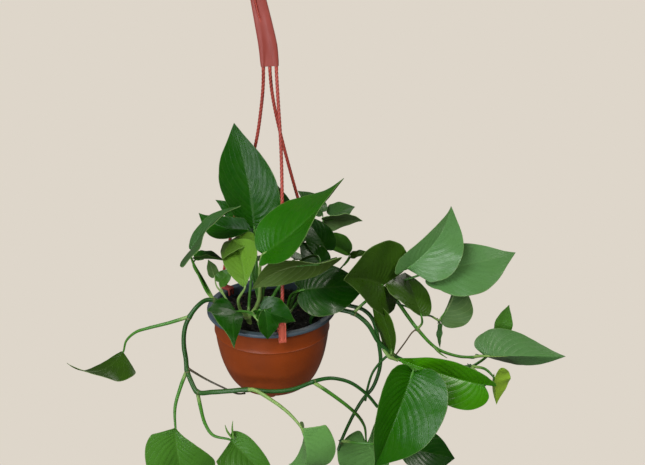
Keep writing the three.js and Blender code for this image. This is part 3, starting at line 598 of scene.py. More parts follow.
def makeStrand(name, path):
    points = [Vector(p) for p in path]
    points[0] = points[0] + Vector((0, 0, 0.4))
    total = framesAlong(points, 60, (1, 0, 0))[-1][3]
    line = framesAlong(points, int(total / 0.7), (1, 0, 0))
    bm = bmesh.new()
    bm.loops.layers.uv.new("UVMap")
    groove = bm.verts.layers.float.new("groove")
    sweep(bm, line, 24, ropeSection(hanger["strandRadius"], line[-1][3], hanger["smoothEnd"],
                                    hanger["plies"], hanger["lay"]), groove)
    bmesh.ops.recalc_face_normals(bm, faces=bm.faces)
    addPiece(name.replace("hanger_", "") + "_twist", bm, [coralPlastic], "hanger_plastic", name)


def makeClip(name, angle):
    # grips the lip from outside: a ribbed plate, a bridge over the rim and two prongs inside
    outside = pot["lipRadius"] + 0.3
    half = hanger["clipWidth"] / 2
    face = outside + hanger["clipPlate"]
    profile = [
        (outside, -5.1), (71, -5.1), (70.5, -hanger["clipBelow"]), (face, -hanger["clipBelow"]),
        (face, hanger["clipAbove"] - 1.5), (face - 1.2, hanger["clipAbove"]),
        (outside, hanger["clipAbove"]), (outside - 1, 3.4), (64.6, 3.4), (63.4, 2.2), (63.4, -6.5),
        (65.6, -6.5), (66, 0.3), (outside, 0.3),
    ]
    bm = bmesh.new()
    side = bm.faces.new([bm.verts.new((r, -half, z)) for r, z in profile])
    bmesh.ops.extrude_face_region(bm, geom=[side], use_keep_orig=True)
    shifted = [v for v in bm.verts if v not in set(side.verts)]
    bmesh.ops.translate(bm, verts=shifted, vec=(0, 2 * half, 0))
    bmesh.ops.recalc_face_normals(bm, faces=bm.faces)
    gap = bmesh.new()
    bmesh.ops.create_cube(gap, size=1, matrix=Matrix.Translation((63, 0, -3.2)) @
                          Matrix.Diagonal((6, hanger["prongGap"], 8, 1)))
    # the plate's face sinks on both sides of a rib that runs up its middle
    cutters = [gap]
    for sideOf in (-1, 1):
        sink = bmesh.new()
        bmesh.ops.create_cube(sink, size=1, matrix=Matrix.Translation((face, sideOf * 2.35, 2.5)) @
                              Matrix.Diagonal((1.3, 1.9, 17, 1)))
        cutters.append(sink)
    bm = combined(bm, cutters, "DIFFERENCE")
    bmesh.ops.dissolve_limit(bm, angle_limit=0.02, verts=bm.verts, edges=bm.edges)
    sharp = [e for e in bm.edges if e.is_manifold and e.calc_face_angle() > 0.6]
    bmesh.ops.bevel(bm, geom=sharp, offset=0.22, segments=2, profile=0.5, affect="EDGES",
                    clamp_overlap=True, material=-1)
    bmesh.ops.rotate(bm, verts=bm.verts, cent=(0, 0, 0), matrix=Matrix.Rotation(angle, 3, "Z"))
    # the front clip is the paler one; the two behind the plant take the sleeve's deeper red as painted
    # shade
    plastic = clipPlastic if name.endswith("front") else sleevePlastic
    addPiece(name.replace("hanger_strand", "clip"), bm, [plastic], "hanger_plastic", name)


makeHook()
for name, strand in strands.items():
    makeStrand(name, strand["path"])
    makeClip(name, strand["angle"])
print("hanger")


# Leafy stems. A leaf has the base and the tip of its blade, the way its upper side looks, its full
# width and the stalk from the stem to the base; tone and stalkTone name the shades below. The other
# values shape the blade, pairs for its left and right half: skew is how much wider the right half is,
# fold the degrees that a half leans up from the midrib, twist the degrees that the blade turns from
# base to tip, curl and bow how far the midrib swings sideways and upwards in leaf lengths, lobes how
# far the lobes reach back, and oval goes from 0 for a heart-shaped half to 1 for an oval one.
leafyStems = {
    "stem_crown_back": dict(
        stems=[
            dict(path=[(-12, -6, -34), (-12, -6, -10), (-13, -6, 8)], radii=(3, 3, 2.4)),
        ],
        leaves=[
            dict(tone="deep", base=(-17, -2, 96), tip=(-36, 5, 215), face=(0.07, -0.99, 0.12), width=76,
                 skew=-0.12, fold=(-35, 15), twist=-15, bow=0.03, curl=0.03, oval=(0.8, 0), lobes=(0, 1),
                 stalk=[(-13, -6, 2), (-16, -6, 50)], stalkRadius=2),
            dict(tone="dark", base=(7, 16, 75), tip=(1, 32, 144), face=(0.28, -0.95, 0.15), width=46,
                 bow=0.03, curl=0.03, stalk=[(-12, -5, 2), (-5, 6, 40)]),
            dict(tone="deep", base=(-25, 2, 93), tip=(-83, 24, 105), face=(0.1, -0.92, 0.38), width=36,
                 skew=-0.2, fold=(45, 25), twist=20, bow=0.03, curl=-0.1, oval=(0.8, 0),
                 stalk=[(-13, -6, 2), (-23, 0, 50)]),
            dict(tone="deep", base=(-27, 38, 74), tip=(-66, 46, 113), face=(-0.05, -0.99, 0.14), width=32,
                 skew=0.2, bow=0.02, curl=0.08, stalk=[(-12, -4, 2), (-22, 20, 42)]),
        ],
    ),
    "stem_crown_front": dict(
        stems=[
            dict(path=[(-24, -28, -32), (-24, -28, -10), (-26, -30, 1)], radii=(3.2, 3.2, 3),
                 tone="pale"),
        ],
        leaves=[
            dict(tone="leaf", base=(-3, -76, 96), tip=(81, -65, 175), face=(-0.4, -0.75, 0.5), width=80,
                 skew=-0.15, fold=(-25, 50), twist=60, bow=0.1, curl=0.1, oval=(0.9, 0.7), lobes=(1.5, 3),
                 stalk=[(-25, -29, 0), (-19, -32, 7), (-12, -38, 23), (-9, -49, 46), (-7, -65, 76)],
                 stalkTone="pale", stalkRadius=2),
            dict(tone="young", base=(-24, -63, 52), tip=(-42, -9, 85), face=(0.02, -0.98, 0.19), width=50,
                 skew=0.15, fold=(35, 40), curl=0.08, oval=(1.3, 1.4),
                 stalk=[(-26, -29.5, -1), (-31, -38, 9), (-33, -50, 30)], stalkTone="pale",
                 stalkRadius=1.7),
            dict(tone="young", base=(-16, -12, 91), tip=(-49, -49, 79), face=(-0.32, -0.3, 0.9), width=40,
                 skew=0.2, fold=(15, -5), twist=-15, bow=-0.03, curl=0.15,
                 stalk=[(-25, -29, 0), (-20, -22, 50), (-15, -12, 78)]),
        ],
    ),
    "stem_crown_low": dict(
        stems=[
            dict(path=[(-8, -50, -32), (-8, -50, -10), (-9, -51, 6)], radii=(3.2, 3.2, 2.6)),
        ],
        leaves=[
            dict(tone="olive", base=(56, -82, 88), tip=(-16, -71, 53), face=(-0.24, 0.96, 0.25), width=42,
                 fold=(-10, -10), twist=-60, bow=0.04, curl=-0.1, oval=(0, 0), lobes=(3, 3),
                 stalk=[(-9, -51, 3), (4, -49, 32), (22, -50, 62), (40, -56, 82), (54, -70, 91)],
                 stalkRadius=1.7),
            dict(tone="dark", base=(-9, -73, 30), tip=(31, -100, 30), face=(-0.34, -0.9, 0.28), width=30,
                 skew=-0.15, fold=(-20, -35), bow=-0.06, oval=(0, 0), lobes=(0, 2),
                 stalk=[(-9, -51, 3), (-12, -62, 17)]),
            dict(tone="deep", base=(-2, -79, 32), tip=(0, -80, -2), face=(0.06, -0.84, 0.53), width=25,
                 skew=-0.1, fold=(0, 35), twist=-10, curl=-0.03, oval=(0.3, 0.6),
                 stalk=[(-9, -51, 3), (-4, -63, 18), (-2, -74, 31)]),
            dict(tone="deep", base=(-36, -51, 17), tip=(-33, -105, 1), face=(0.34, -0.8, 0.49), width=39,
                 skew=0.4, fold=(-15, 10), twist=25, bow=0.15, curl=0.1, oval=(0.4, -0.5),
                 lobes=(0.5, 2.5), stalk=[(-9, -51, 3), (-21, -48, 14)]),
        ],
    ),
    "stem_side_shoot": dict(
        stems=[
            dict(path=[(-42, -22, -30), (-42, -22, -10), (-43, -21, 6)], radii=(2.2, 2.2, 1.8)),
        ],
        leaves=[
            dict(tone="fresh", base=(-64, -6, 39), tip=(-71, -2, 58), face=(0.01, 0.97, -0.24), width=13,
                 stalk=[(-43, -21, 4), (-54, -16, 21), (-62, -10, 29)], stalkTone="pale",
                 stalkRadius=1.1),
            dict(tone="fresh", base=(-58, -16, 36), tip=(-41, -20, 54), face=(-0.42, -0.89, 0.16),
                 width=18, stalk=[(-43, -21, 4), (-52, -19, 20)], stalkTone="pale", stalkRadius=1.1),
        ],
    ),
    "stem_dark_right": dict(
        stems=[
            dict(path=[(18, -36, -32), (18, -36, -10), (19, -38, 8)], radii=(3, 3, 2.4)),
        ],
        leaves=[
            dict(tone="dark", base=(36, -57, 46), tip=(110, -30, 38), face=(-0.14, -0.66, 0.73), width=60,
                 skew=0.05, fold=(10, -5), bow=0.04, stalk=[(19, -37, 4), (24, -44, 32)],
                 stalkRadius=1.7),
            dict(tone="dark", base=(64, -18, 76), tip=(38, -10, 116), face=(0.22, -0.9, 0.37), width=34,
                 stalk=[(19, -37, 4), (34, -30, 38), (55, -22, 64)]),
            dict(tone="dark", base=(60, -26, 60), tip=(33, -22, 88), face=(0.21, -0.88, 0.43), width=32,
                 stalk=[(19, -37, 4), (38, -34, 30)]),
        ],
    ),
    "stem_back_right": dict(
        stems=[
            dict(path=[(36, 22, -32), (36, 22, -10), (40, 23, 10)], radii=(2.6, 2.6, 2)),
        ],
        leaves=[
            dict(tone="grey", base=(69, 58, 89), tip=(98, 68, 97), face=(-0.3, -0.5, 0.8), width=31,
                 stalk=[(39, 23, 4), (55, 38, 42), (66, 52, 76)], stalkRadius=1.2),
            dict(tone="grey", base=(59, 55, 95), tip=(30, 65, 118), face=(0.2, -0.6, 0.75), width=26,
                 stalk=[(39, 23, 4), (55, 38, 46)], stalkRadius=1.2),
            dict(tone="soft", base=(61, 23, 96), tip=(106, 38, 90), face=(-0.31, 0.66, 0.68), width=35,
                 fold=(-15, -5), bow=0.03, curl=0.05, oval=(-0.3, 0.2), lobes=(1, 1.5),
                 stalk=[(39, 23, 4), (50, 24, 44), (59, 24, 80)], stalkRadius=1.2),
            dict(tone="fresh", base=(90, 12, 59), tip=(61, 43, 56), face=(0.04, -0.9, 0.43), width=29,
                 skew=0.4, fold=(45, 50), twist=35, bow=0.15, curl=0.08, oval=(0.2, 0),
                 stalk=[(39, 23, 4), (66, 14, 26), (84, 11, 46)], stalkRadius=1.1),
            dict(tone="olive", base=(92, 18, 54), tip=(113, 13, 61), face=(-0.36, -0.53, 0.76), width=10,
                 stalk=[(84, 11.5, 45), (89, 15, 49)], stalkRadius=0.9),
        ],
    ),
    "vine_left": dict(
        stems=[
            dict(path=[(-50, -14, -32), (-50, -14, -10), (-55, -17, 8), (-64, -21, 16), (-73, -26, 18),
                       (-81, -32, 14), (-89, -38, 5), (-95, -42, -8), (-97, -46, -27), (-95, -50, -44),
                       (-94, -53, -56), (-89, -58, -69), (-82, -64, -78), (-63, -72, -73),
                       (-44, -76, -69), (-24, -78, -66), (2, -80, -67), (26, -79, -65), (44, -75, -60),
                       (54, -73, -57), (70, -69, -57), (91, -64, -66), (110, -62, -83),
                       (122, -62, -99)], radii=(2.5, 2.7, 1.8)),
            dict(path=[(-93, -53, -54), (-73, -56, -66), (-53, -64, -72), (-36, -72, -75),
                       (-27, -76, -72)], radii=(1.4, 1, 1), tone="root"),
        ],
        leaves=[
            dict(tone="deep", base=(-82, -22, 67), tip=(-50, -21, 65), face=(0.16, -0.2, 0.97), width=26,
                 fold=(20, 60), stalk=[(-64, -21, 15), (-72, -22, 28), (-79, -22, 46), (-85, -22, 60)]),
            dict(tone="grey", base=(-84, -36, 84), tip=(-30, -21, 130), face=(-0.67, -0.2, 0.72), width=50,
                 skew=0.4, fold=(25, 25), twist=15, bow=0.07, curl=-0.03, oval=(0.8, -0.6),
                 lobes=(0.5, 1.5), stalk=[(-64, -21, 15), (-76, -18, 40), (-85, -25, 66)]),
            dict(tone="olive", base=(-169, -36, -43), tip=(-218, -83, -29), face=(0.31, -0.42, 0.85),
                 width=45, skew=-0.4, fold=(40, -40), twist=-45, bow=-0.13, curl=-0.18,
                 oval=(-0.6, 1.1), lobes=(0, 1), stalk=[(-90, -38.5, 4), (-113, -40, -3),
                                                        (-138, -40, -10), (-152, -38, -16),
                                                        (-164, -36, -28)], stalkRadius=1.7),
            dict(tone="fresh", base=(-109, -69, -123), tip=(-97, -73, -216), face=(0, -0.95, 0.31),
                 width=80, fold=(10, 40), twist=45, bow=0.05, curl=0.03, oval=(1.5, 0.3), lobes=(1, 0),
                 stalk=[(-94, -53, -56), (-102, -56, -76), (-109, -62, -100)], stalkRadius=1.8),
            dict(tone="fresh", base=(-44, -82, -130), tip=(10, -94, -193), face=(0.47, -0.76, 0.46),
                 width=54, skew=0.3, fold=(35, 30), bow=0.03, oval=(0.1, -0.5), lobes=(1, 0),
                 stalk=[(-82, -64, -78), (-79, -68, -94), (-74, -73, -114), (-65, -78, -126)],
                 stalkRadius=1.8),
            dict(tone="soft", base=(36, -112, -93), tip=(20, -73, -170), face=(0, -0.96, 0.3), width=65,
                 fold=(-15, -75), twist=-10, bow=0.18, curl=-0.18, oval=(0, 1), lobes=(0, 1),
                 stalk=[(-24, -78, -66), (-16, -82, -64), (3, -92, -70), (22, -102, -80)],
                 stalkTone="pale", stalkRadius=1.8),
            dict(tone="soft", base=(113, -28, -174), tip=(101, -40, -250), face=(-0.22, -0.95, 0.21),
                 width=68, skew=0.4, fold=(-20, 15), twist=-45, bow=-0.07, curl=-0.18,
                 oval=(-0.3, 0.1), lobes=(2.7, 3), stalk=[(49, -74, -59), (64, -76, -69),
                                                          (92, -72, -96), (108, -48, -134)],
                 stalkRadius=1.8),
        ],
    ),
    "vine_right_front": dict(
        stems=[
            dict(path=[(46, -26, -32), (46, -26, -10), (52, -29, 6), (66, -35, 13), (80, -40, 13),
                       (94, -44, 11), (109, -48, 0), (122, -51, -21), (136, -52, -35), (150, -47, -47),
                       (170, -40, -58), (197, -34, -66), (232, -28, -66)], radii=(2.6, 2.6, 1.8)),
            dict(path=[(136, -52, -36), (130, -51, -41), (117, -47, -62), (111, -45, -86),
                       (109, -43, -103)], radii=(1.5, 1.4, 1.4)),
        ],
        leaves=[
            dict(tone="olive", base=(127, -31, 39), tip=(81, -84, 70), face=(0.3, -0.81, 0.49), width=86,
                 skew=0.25, fold=(15, 35), twist=-15, bow=-0.03, curl=0.06, oval=(-0.6, -0.3),
                 lobes=(2, 2), stalk=[(94, -44, 12), (105, -41, 22), (118, -35, 31)]),
            dict(tone="olive", base=(136, -60, -30), tip=(112, -36, 25), face=(-0.47, -0.88, -0.01),
                 width=40, skew=-0.1, fold=(-20, 35), twist=-30, bow=-0.02, curl=0.1, oval=(0.1, 0.6),
                 stalk=[(136, -52, -36)]),
            dict(tone="bright", base=(242, -61, -71), tip=(142, -63, -35), face=(0.28, -0.8, 0.53),
                 width=57, skew=-0.15, fold=(15, 50), twist=-35, bow=0, curl=-0.02, oval=(0.1, 0.4),
                 lobes=(1, 2), stalk=[(231, -28, -66), (240, -40, -70), (245, -53, -72)]),
            dict(tone="leaf", base=(159, -72, -46), tip=(119, -83, -167), face=(-0.07, -0.94, 0.33),
                 width=88, skew=-0.2, fold=(30, 45), bow=0.11, oval=(-0.1, -0.4), lobes=(1, 0.5),
                 stalk=[(148, -48, -45), (156, -61, -44)], stalkRadius=1.8),
            dict(tone="lime", base=(257, -42, -74), tip=(264, -36, -113), face=(-0.17, -0.96, 0.24),
                 width=29, skew=-0.2, fold=(-20, -75), twist=30, bow=0, oval=(-0.6, 0.2),
                 lobes=(2.5, 1), stalk=[(232, -28, -66), (248, -31, -68)]),
            dict(tone="fresh", base=(269, 0, -38), tip=(280, 11, -6), face=(0.08, -0.98, 0.18), width=23,
                 skew=0.15, bow=0.02, curl=-0.03, oval=(0.2, -0.2),
                 stalk=[(232, -28, -66), (240, -9, -76), (258, 5, -71), (267, 6, -53)]),
        ],
    ),
    "vine_right_middle": dict(
        stems=[
            dict(path=[(44, 2, -32), (44, 2, -21), (44, 2, -10), (52, 0, 8), (70, -3, 18), (98, -6, 23),
                       (126, -11, 22), (143, -18, 14), (154, -25, 1), (167, -32, -15), (190, -34, -39),
                       (214, -34, -49), (234, -32, -52)], radii=(2.5, 2.3, 1.6), tone="petiole"),
            dict(path=[(126, -11, 21), (141, -22, 14), (155, -26, 10), (173, -29, 2), (184, -27, -2),
                       (191, -25, -8), (194, -26, -13)], radii=(1.2, 1, 0.9)),
        ],
        leaves=[
            dict(tone="sage", base=(153, -23, 56), tip=(206, 23, 114), face=(-0.5, -0.8, 0.33), width=58,
                 skew=0.35, fold=(60, 10), twist=20, bow=0.09, curl=0.14, oval=(-0.6, 0.1),
                 lobes=(1, 0), stalk=[(126, -11, 22), (138, -6, 34), (148, -10, 48)], stalkRadius=1.2),
            dict(tone="sage", base=(184, -13, 48), tip=(278, -3, 67), face=(-0.24, -0.73, 0.64), width=71,
                 skew=0.2, fold=(15, 20), twist=-15, bow=0.08, curl=0.04, oval=(-0.4, 0.3),
                 lobes=(1, 2), stalk=[(126, -11, 22), (143, -6, 30), (164, -6, 38)], stalkRadius=1.2),
            dict(tone="olive", base=(169, -46, 9), tip=(155, 11, 36), face=(0.14, -0.86, 0.49), width=56,
                 skew=-0.4, fold=(35, 5), twist=10, bow=0.05, oval=(1.2, 0.5), lobes=(1, 0.5),
                 stalk=[(167, -32, -15), (171, -38, -5)], stalkRadius=1.2),
            dict(tone="grey", base=(192, -26, -7), tip=(215, -2, 37), face=(0.21, 0.86, -0.47), width=42,
                 skew=-0.4, fold=(5, 75), twist=-25, bow=0.03, curl=-0.07, stalk=[(184, -27, -2)],
                 stalkRadius=1),
            dict(tone="grey", base=(194, -26, -13), tip=(194, -31, -40), face=(-0.76, -0.64, 0.08),
                 width=8, stalk=[(192, -25, -9)], stalkRadius=0.8),
            dict(tone="sage", base=(246, -32, -50), tip=(337, -40, -46), face=(-0.13, -0.8, 0.59),
                 width=69, fold=(-25, -75), twist=45, bow=0, oval=(0.1, -0.1), lobes=(1.5, 1),
                 stalk=[(232, -32, -52), (239, -31, -51)], stalkTone="pale", stalkRadius=1.5),
        ],
    ),
    "vine_right_back": dict(
        stems=[
            dict(path=[(54, -8, -32), (54, -8, -20), (54, -8, -5), (60, -12, 4), (74, -18, 10),
                       (92, -22, 9), (106, -26, 6), (116, -29, -4), (124, -31, -36), (126, -33, -61),
                       (118, -35, -90), (106, -37, -106), (95, -40, -126), (82, -44, -157),
                       (78, -46, -170)], radii=(2.3, 2.3, 1.8)),
        ],
        leaves=[
            dict(tone="dark", base=(154, -50, -163), tip=(219, -38, -188), face=(0.1, -0.78, 0.62),
                 width=53, fold=(20, 20), oval=(0.4, 0.6),
                 stalk=[(82, -44.5, -158), (100, -55, -153), (118, -60, -151), (138, -55, -158)]),
        ],
    ),
    "stem_back_crown": dict(
        stems=[
            dict(path=[(-14, 26, -34), (-14, 26, -10), (-14, 28, 8)], radii=(3, 3, 2.4)),
        ],
        leaves=[
            dict(tone="deep", base=(-18, 50, 66), tip=(-34, 104, 90), face=(-0.2, -0.3, 0.95), width=50,
                 stalk=[(-14, 27, 4), (-21, 32, 38)]),
            dict(tone="leaf", base=(10, 46, 58), tip=(26, 100, 66), face=(0.1, -0.15, 0.97), width=56,
                 stalk=[(-14, 27, 4), (-2, 36, 34)]),
            dict(tone="deep", base=(-30, 50, 28), tip=(-50, 100, 2), face=(-0.3, 0.4, 0.87), width=50,
                 stalk=[(-14, 27, 4), (-22, 40, 20)]),
            dict(tone="leaf", base=(26, 60, 32), tip=(48, 106, 8), face=(0.3, 0.4, 0.87), width=46,
                 stalk=[(-14, 27, 4), (10, 44, 26)]),
        ],
    ),
    "vine_back": dict(
        stems=[
            dict(path=[(10, 30, -34), (10, 30, -20), (10, 30, -7), (9, 40, 7), (7, 62, 14), (4, 84, 10),
                       (-2, 95, -12), (2, 100, -46), (-3, 102, -80), (3, 104, -112)],
                 radii=(2.6, 2.5, 1.7)),
        ],
        leaves=[
            dict(tone="leaf", base=(-14, 102, -22), tip=(-46, 122, -70), face=(-0.3, 0.85, 0.45), width=48,
                 stalk=[(-2, 95, -12), (-7, 99, -13)]),
            dict(tone="deep", base=(14, 106, -54), tip=(44, 120, -104), face=(0.3, 0.85, 0.4), width=46,
                 stalk=[(2, 100, -46), (8, 104, -46)]),
            dict(tone="leaf", base=(-14, 107, -90), tip=(-38, 114, -136), face=(-0.25, 0.9, 0.35), width=42,
                 stalk=[(-3, 102, -80), (-9, 106, -81)]),
            dict(tone="fresh", base=(5, 106, -124), tip=(12, 114, -172), face=(0.1, 0.95, 0.3), width=38,
                 stalk=[(3, 104, -112)]),
        ],
    ),
}

# small growths that the plant's solids leave out: young sprouts, a leaf's pale sheath, a thin runner
growths = {
    "vine_left": [
        dict(path=[(-43, -83, -126), (-48, -83, -117), (-50, -83, -109)], radii=(1.3, 1.2, 0.3),
             tone="sprout"),
        dict(path=[(-41, -84, -126), (-42, -84, -113), (-41, -84, -103)], radii=(1.3, 1.1, 0.3),
             tone="sprout"),
    ],
    "vine_right_front": [
        dict(path=[(127, -53, -29), (134, -55, -37), (144, -53, -44)], radii=(1.6, 2.5, 1.2), tone="pale"),
    ],
    "vine_right_middle": [
        dict(path=[(183, -34, -33), (193, -37, -43), (202, -37, -50)], radii=(1.1, 1.2, 0.3),
             tone="sprout"),
        dict(path=[(142, -50, -38), (153, -42, -26), (160, -38, -17), (167, -32, -14)],
             radii=(0.9, 0.8, 0.9), tone="brown"),
    ],
}

# shades of a blade: its upper side and its underside. Grey and sage are the leaf's own green made
# paler and bluer with a painted sheen
bladeTones = {
    "dark": ("#083a00", "#183c08"),
    "deep": ("#104800", "#244c0c"),
    "leaf": ("#1e5c00", "#345a14"),
    "bright": ("#3c8400", "#548420"),
    "olive": ("#2e4c0c", "#40581c"),
    "grey": ("#34582a", "#466434"),
    "sage": ("#527c46", "#648654"),
    "fresh": ("#427422", "#547838"),
    "soft": ("#689c52", "#74985c"),
    "young": ("#6c9830", "#7ca04c"),
    "lime": ("#94bc38", "#a4c050"),
}
stalkTones = {
    "vine": "#10480f", "petiole": "#3a7618", "pale": "#7c9c50", "root": "#33201c", "brown": "#5c4838",
    "sprout": "#5c8a38",
}


# Leaves

# Half of a blade as stations from base to tip: the margin's place along and across for a
# heart-shaped and for an oval leaf, and where the side vein that ends there leaves the midrib.
outline = dict(
    heart=[(0, 0), (-0.09, 0.17), (-0.06, 0.34), (0.07, 0.47), (0.25, 0.5), (0.46, 0.45), (0.67, 0.31),
           (0.86, 0.12), (1, 0)],
    oval=[(0, 0), (0, 0.1), (0.05, 0.22), (0.15, 0.36), (0.3, 0.47), (0.48, 0.5), (0.68, 0.38),
          (0.86, 0.17), (1, 0)],
    vein=[0, 0.03, 0.07, 0.13, 0.23, 0.38, 0.57, 0.78, 1],
)
blade = dict(
    thickness=0.6, grooveDepth=0.35, ribDepth=1.0, quilt=0.55, sway=0.9, swayScale=0.045,
    waves=14, cup=0.1,
    plainFold=14, plainOval=0.2, plainBow=0.06, plainStalk=1.5,
    veinsAtLeast=7, widthPerVein=13, veinSweep=0.28, veinCurve=1.25,
    columns=[(40, 28), (20, 20), (0, 12)],  # for a blade wider than this, so many columns
    rowMm=1.55, crowding=1.35,  # columns crowd towards the midrib
    gloss=(0.24, 0.44), undersideGloss=(0.5, 0.62),
)


def pothosBlade(name, upper):
    # living pothos leaf: a waxy cuticle over the upper side, a matt underside, and some light that
    # shines through. Side veins sink into the upper side and stand out below. The grain of the
    # leaf's cells is drawn far coarser than the real one, as mottling.
    material, tree = newMaterial(name)
    coordinates = addNode(tree, "ShaderNodeTexCoord").outputs
    uv = addNode(tree, "ShaderNodeSeparateXYZ", {"Vector": coordinates["UV"]}).outputs
    tone = addNode(tree, "ShaderNodeAttribute", attribute_name="tone").outputs["Color"]
    veinRun = addNode(tree, "ShaderNodeAttribute", attribute_name="veinRun").outputs["Fac"]

    # 0 on the midrib to 0.5 at the margin
    centred = addNode(tree, "ShaderNodeMath", {0: uv["X"], 1: 0.5}, operation="SUBTRACT")
    off = addNode(tree, "ShaderNodeMath", {0: centred.outputs[0]}, operation="ABSOLUTE")
    spread = addNode(tree, "ShaderNodeMapRange", {"Value": uv["Y"], "To Min": 0.09, "To Max": 0.045})
    share = addNode(tree, "ShaderNodeMath", {0: off.outputs[0], 1: spread.outputs[0]}, operation="DIVIDE")
    rib = addNode(tree, "ShaderNodeMapRange", {"Value": share.outputs[0], "From Min": 1, "From Max": 0.4},
                  interpolation_type="SMOOTHSTEP")

    # veinRun counts the side veins; between two of them run three finer ones
    phase = addNode(tree, "ShaderNodeMath", {0: veinRun, 1: math.pi}, operation="MULTIPLY")
    wave = addNode(tree, "ShaderNodeMath", {0: phase.outputs[0]}, operation="SINE")
    beat = addNode(tree, "ShaderNodeMath", {0: wave.outputs[0]}, operation="ABSOLUTE")
    vein = addNode(tree, "ShaderNodeMapRange", {"Value": beat.outputs[0], "From Min": 0.25, "From Max": 0},
                   interpolation_type="SMOOTHSTEP")
    finePhase = addNode(tree, "ShaderNodeMath", {0: veinRun, 1: 4 * math.pi}, operation="MULTIPLY")
    fineWave = addNode(tree, "ShaderNodeMath", {0: finePhase.outputs[0]}, operation="SINE")
    fineBeat = addNode(tree, "ShaderNodeMath", {0: fineWave.outputs[0]}, operation="ABSOLUTE")

    blotch = addNode(tree, "ShaderNodeTexNoise", {"Vector": coordinates["Object"], "Detail": 3,
                                                  "Scale": 1 / (16 * mm), "Roughness": 0.55})
    grain = addNode(tree, "ShaderNodeTexNoise", {"Vector": coordinates["Object"], "Detail": 2,
                                                 "Scale": 1 / (1.6 * mm)})
    waxy = addNode(tree, "ShaderNodeTexNoise", {"Vector": coordinates["Object"], "Detail": 3,
                                                "Scale": 1 / (5 * mm)})
    patches = addNode(tree, "ShaderNodeMapRange", {"Value": blotch.outputs["Fac"], "From Min": 0.3,
                                                   "From Max": 0.7, "To Max": 0.35})
    ripe = addNode(tree, "ShaderNodeMix", {0: 0.3, 6: tone,
                                           7: linear("#447c00" if upper else "#6c8440")},
                   data_type="RGBA")
    colour = addNode(tree, "ShaderNodeMix", {0: patches.outputs[0], 6: tone, 7: ripe.outputs[2]},
                     data_type="RGBA")
    cells = addNode(tree, "ShaderNodeMapRange", {"Value": grain.outputs["Fac"], "From Min": 0.35,
                                                 "From Max": 0.7, "To Max": 0.15})
    colour = addNode(tree, "ShaderNodeMix", {0: cells.outputs[0], 6: colour.outputs[2],
                                             7: linear("#0c2a04" if upper else "#24341a")},
                     data_type="RGBA")
    veinShow = addNode(tree, "ShaderNodeMath", {0: vein.outputs[0], 1: 0.07 if upper else 0.2},
                       operation="MULTIPLY")
    colour = addNode(tree, "ShaderNodeMix", {0: veinShow.outputs[0], 6: colour.outputs[2],
                                             7: linear("#6a9440" if upper else "#90a66c")},
                     data_type="RGBA")
    ribShow = addNode(tree, "ShaderNodeMath", {0: rib.outputs[0], 1: 0.05 if upper else 0.35},
                      operation="MULTIPLY")
    colour = addNode(tree, "ShaderNodeMix", {0: ribShow.outputs[0], 6: colour.outputs[2],
                                             7: linear("#789c4c" if upper else "#9cb074")},
                     data_type="RGBA")
    rim = addNode(tree, "ShaderNodeMapRange", {"Value": off.outputs[0], "From Min": 0.49, "From Max": 0.5,
                                               "To Max": 0.35})
    colour = addNode(tree, "ShaderNodeMix", {0: rim.outputs[0], 6: colour.outputs[2],
                                             7: linear("#84a05c")}, data_type="RGBA")

    sunk = addNode(tree, "ShaderNodeMath", {0: vein.outputs[0], 1: -0.5 if upper else 0.6},
                   operation="MULTIPLY")
    ridges = addNode(tree, "ShaderNodeMath", {0: fineBeat.outputs[0], 1: 0.28, 2: sunk.outputs[0]},
                     operation="MULTIPLY_ADD")
    height = addNode(tree, "ShaderNodeMath", {0: grain.outputs["Fac"], 1: 0.1, 2: ridges.outputs[0]},
                     operation="MULTIPLY_ADD")
    bump = addNode(tree, "ShaderNodeBump", {"Strength": 0.5, "Distance": 0.35 * mm,
                                            "Height": height.outputs[0]})
    smooth, dull = blade["gloss" if upper else "undersideGloss"]
    gloss = addNode(tree, "ShaderNodeMapRange", {"Value": waxy.outputs["Fac"], "From Min": 0.3,
                                                 "From Max": 0.7, "To Min": smooth, "To Max": dull})
    surface = addNode(tree, "ShaderNodeBsdfPrincipled",
                      {"Base Color": colour.outputs[2], "Roughness": gloss.outputs[0], "IOR": 1.46,
                       "Specular IOR Level": 0.26 if upper else 0.18,
                       "Coat Weight": 0.06 if upper else 0.0, "Coat Roughness": 0.14,
                       "Normal": bump.outputs["Normal"]})
    lit = addNode(tree, "ShaderNodeMix", {0: 0.5, 6: colour.outputs[2], 7: linear("#7fb01a")},
                  data_type="RGBA")
    glow = addNode(tree, "ShaderNodeBsdfTranslucent", {"Color": lit.outputs[2]})
    both = addNode(tree, "ShaderNodeMixShader", {0: 0.08, 1: surface.outputs[0], 2: glow.outputs[0]})
    addNode(tree, "ShaderNodeOutputMaterial", {"Surface": both.outputs[0]})
    return material


def through(values, t):
    # a smooth line through evenly spaced values
    last = len(values) - 1
    i = min(int(t * last), last - 1)
    w = t * last - i
    b, c = values[i], values[i + 1]
    a = values[i - 1] if i else 2 * b - c
    d = values[i + 2] if i + 2 <= last else 2 * c - b
    return b + 0.5 * w * (c - a + w * (2 * a - 5 * b + 4 * c - d + w * (3 * (b - c) + d - a)))


def stationAt(run, oval):
    edge = lerp(through([p[0] for p in outline["heart"]], run),
                through([p[0] for p in outline["oval"]], run), oval)
    margin = lerp(through([p[1] for p in outline["heart"]], run),
                  through([p[1] for p in outline["oval"]], run), oval)
    return edge, max(0, margin), through(outline["vein"], run)


def bladeAxes(leaf):
    base, tip = Vector(leaf["base"]), Vector(leaf["tip"])
    along = tip - base
    length = along.length
    along.normalize()
    up = Vector(leaf["face"])
    up = (up - along * up.dot(along)).normalized()
    return base, along, along.cross(up), up, length


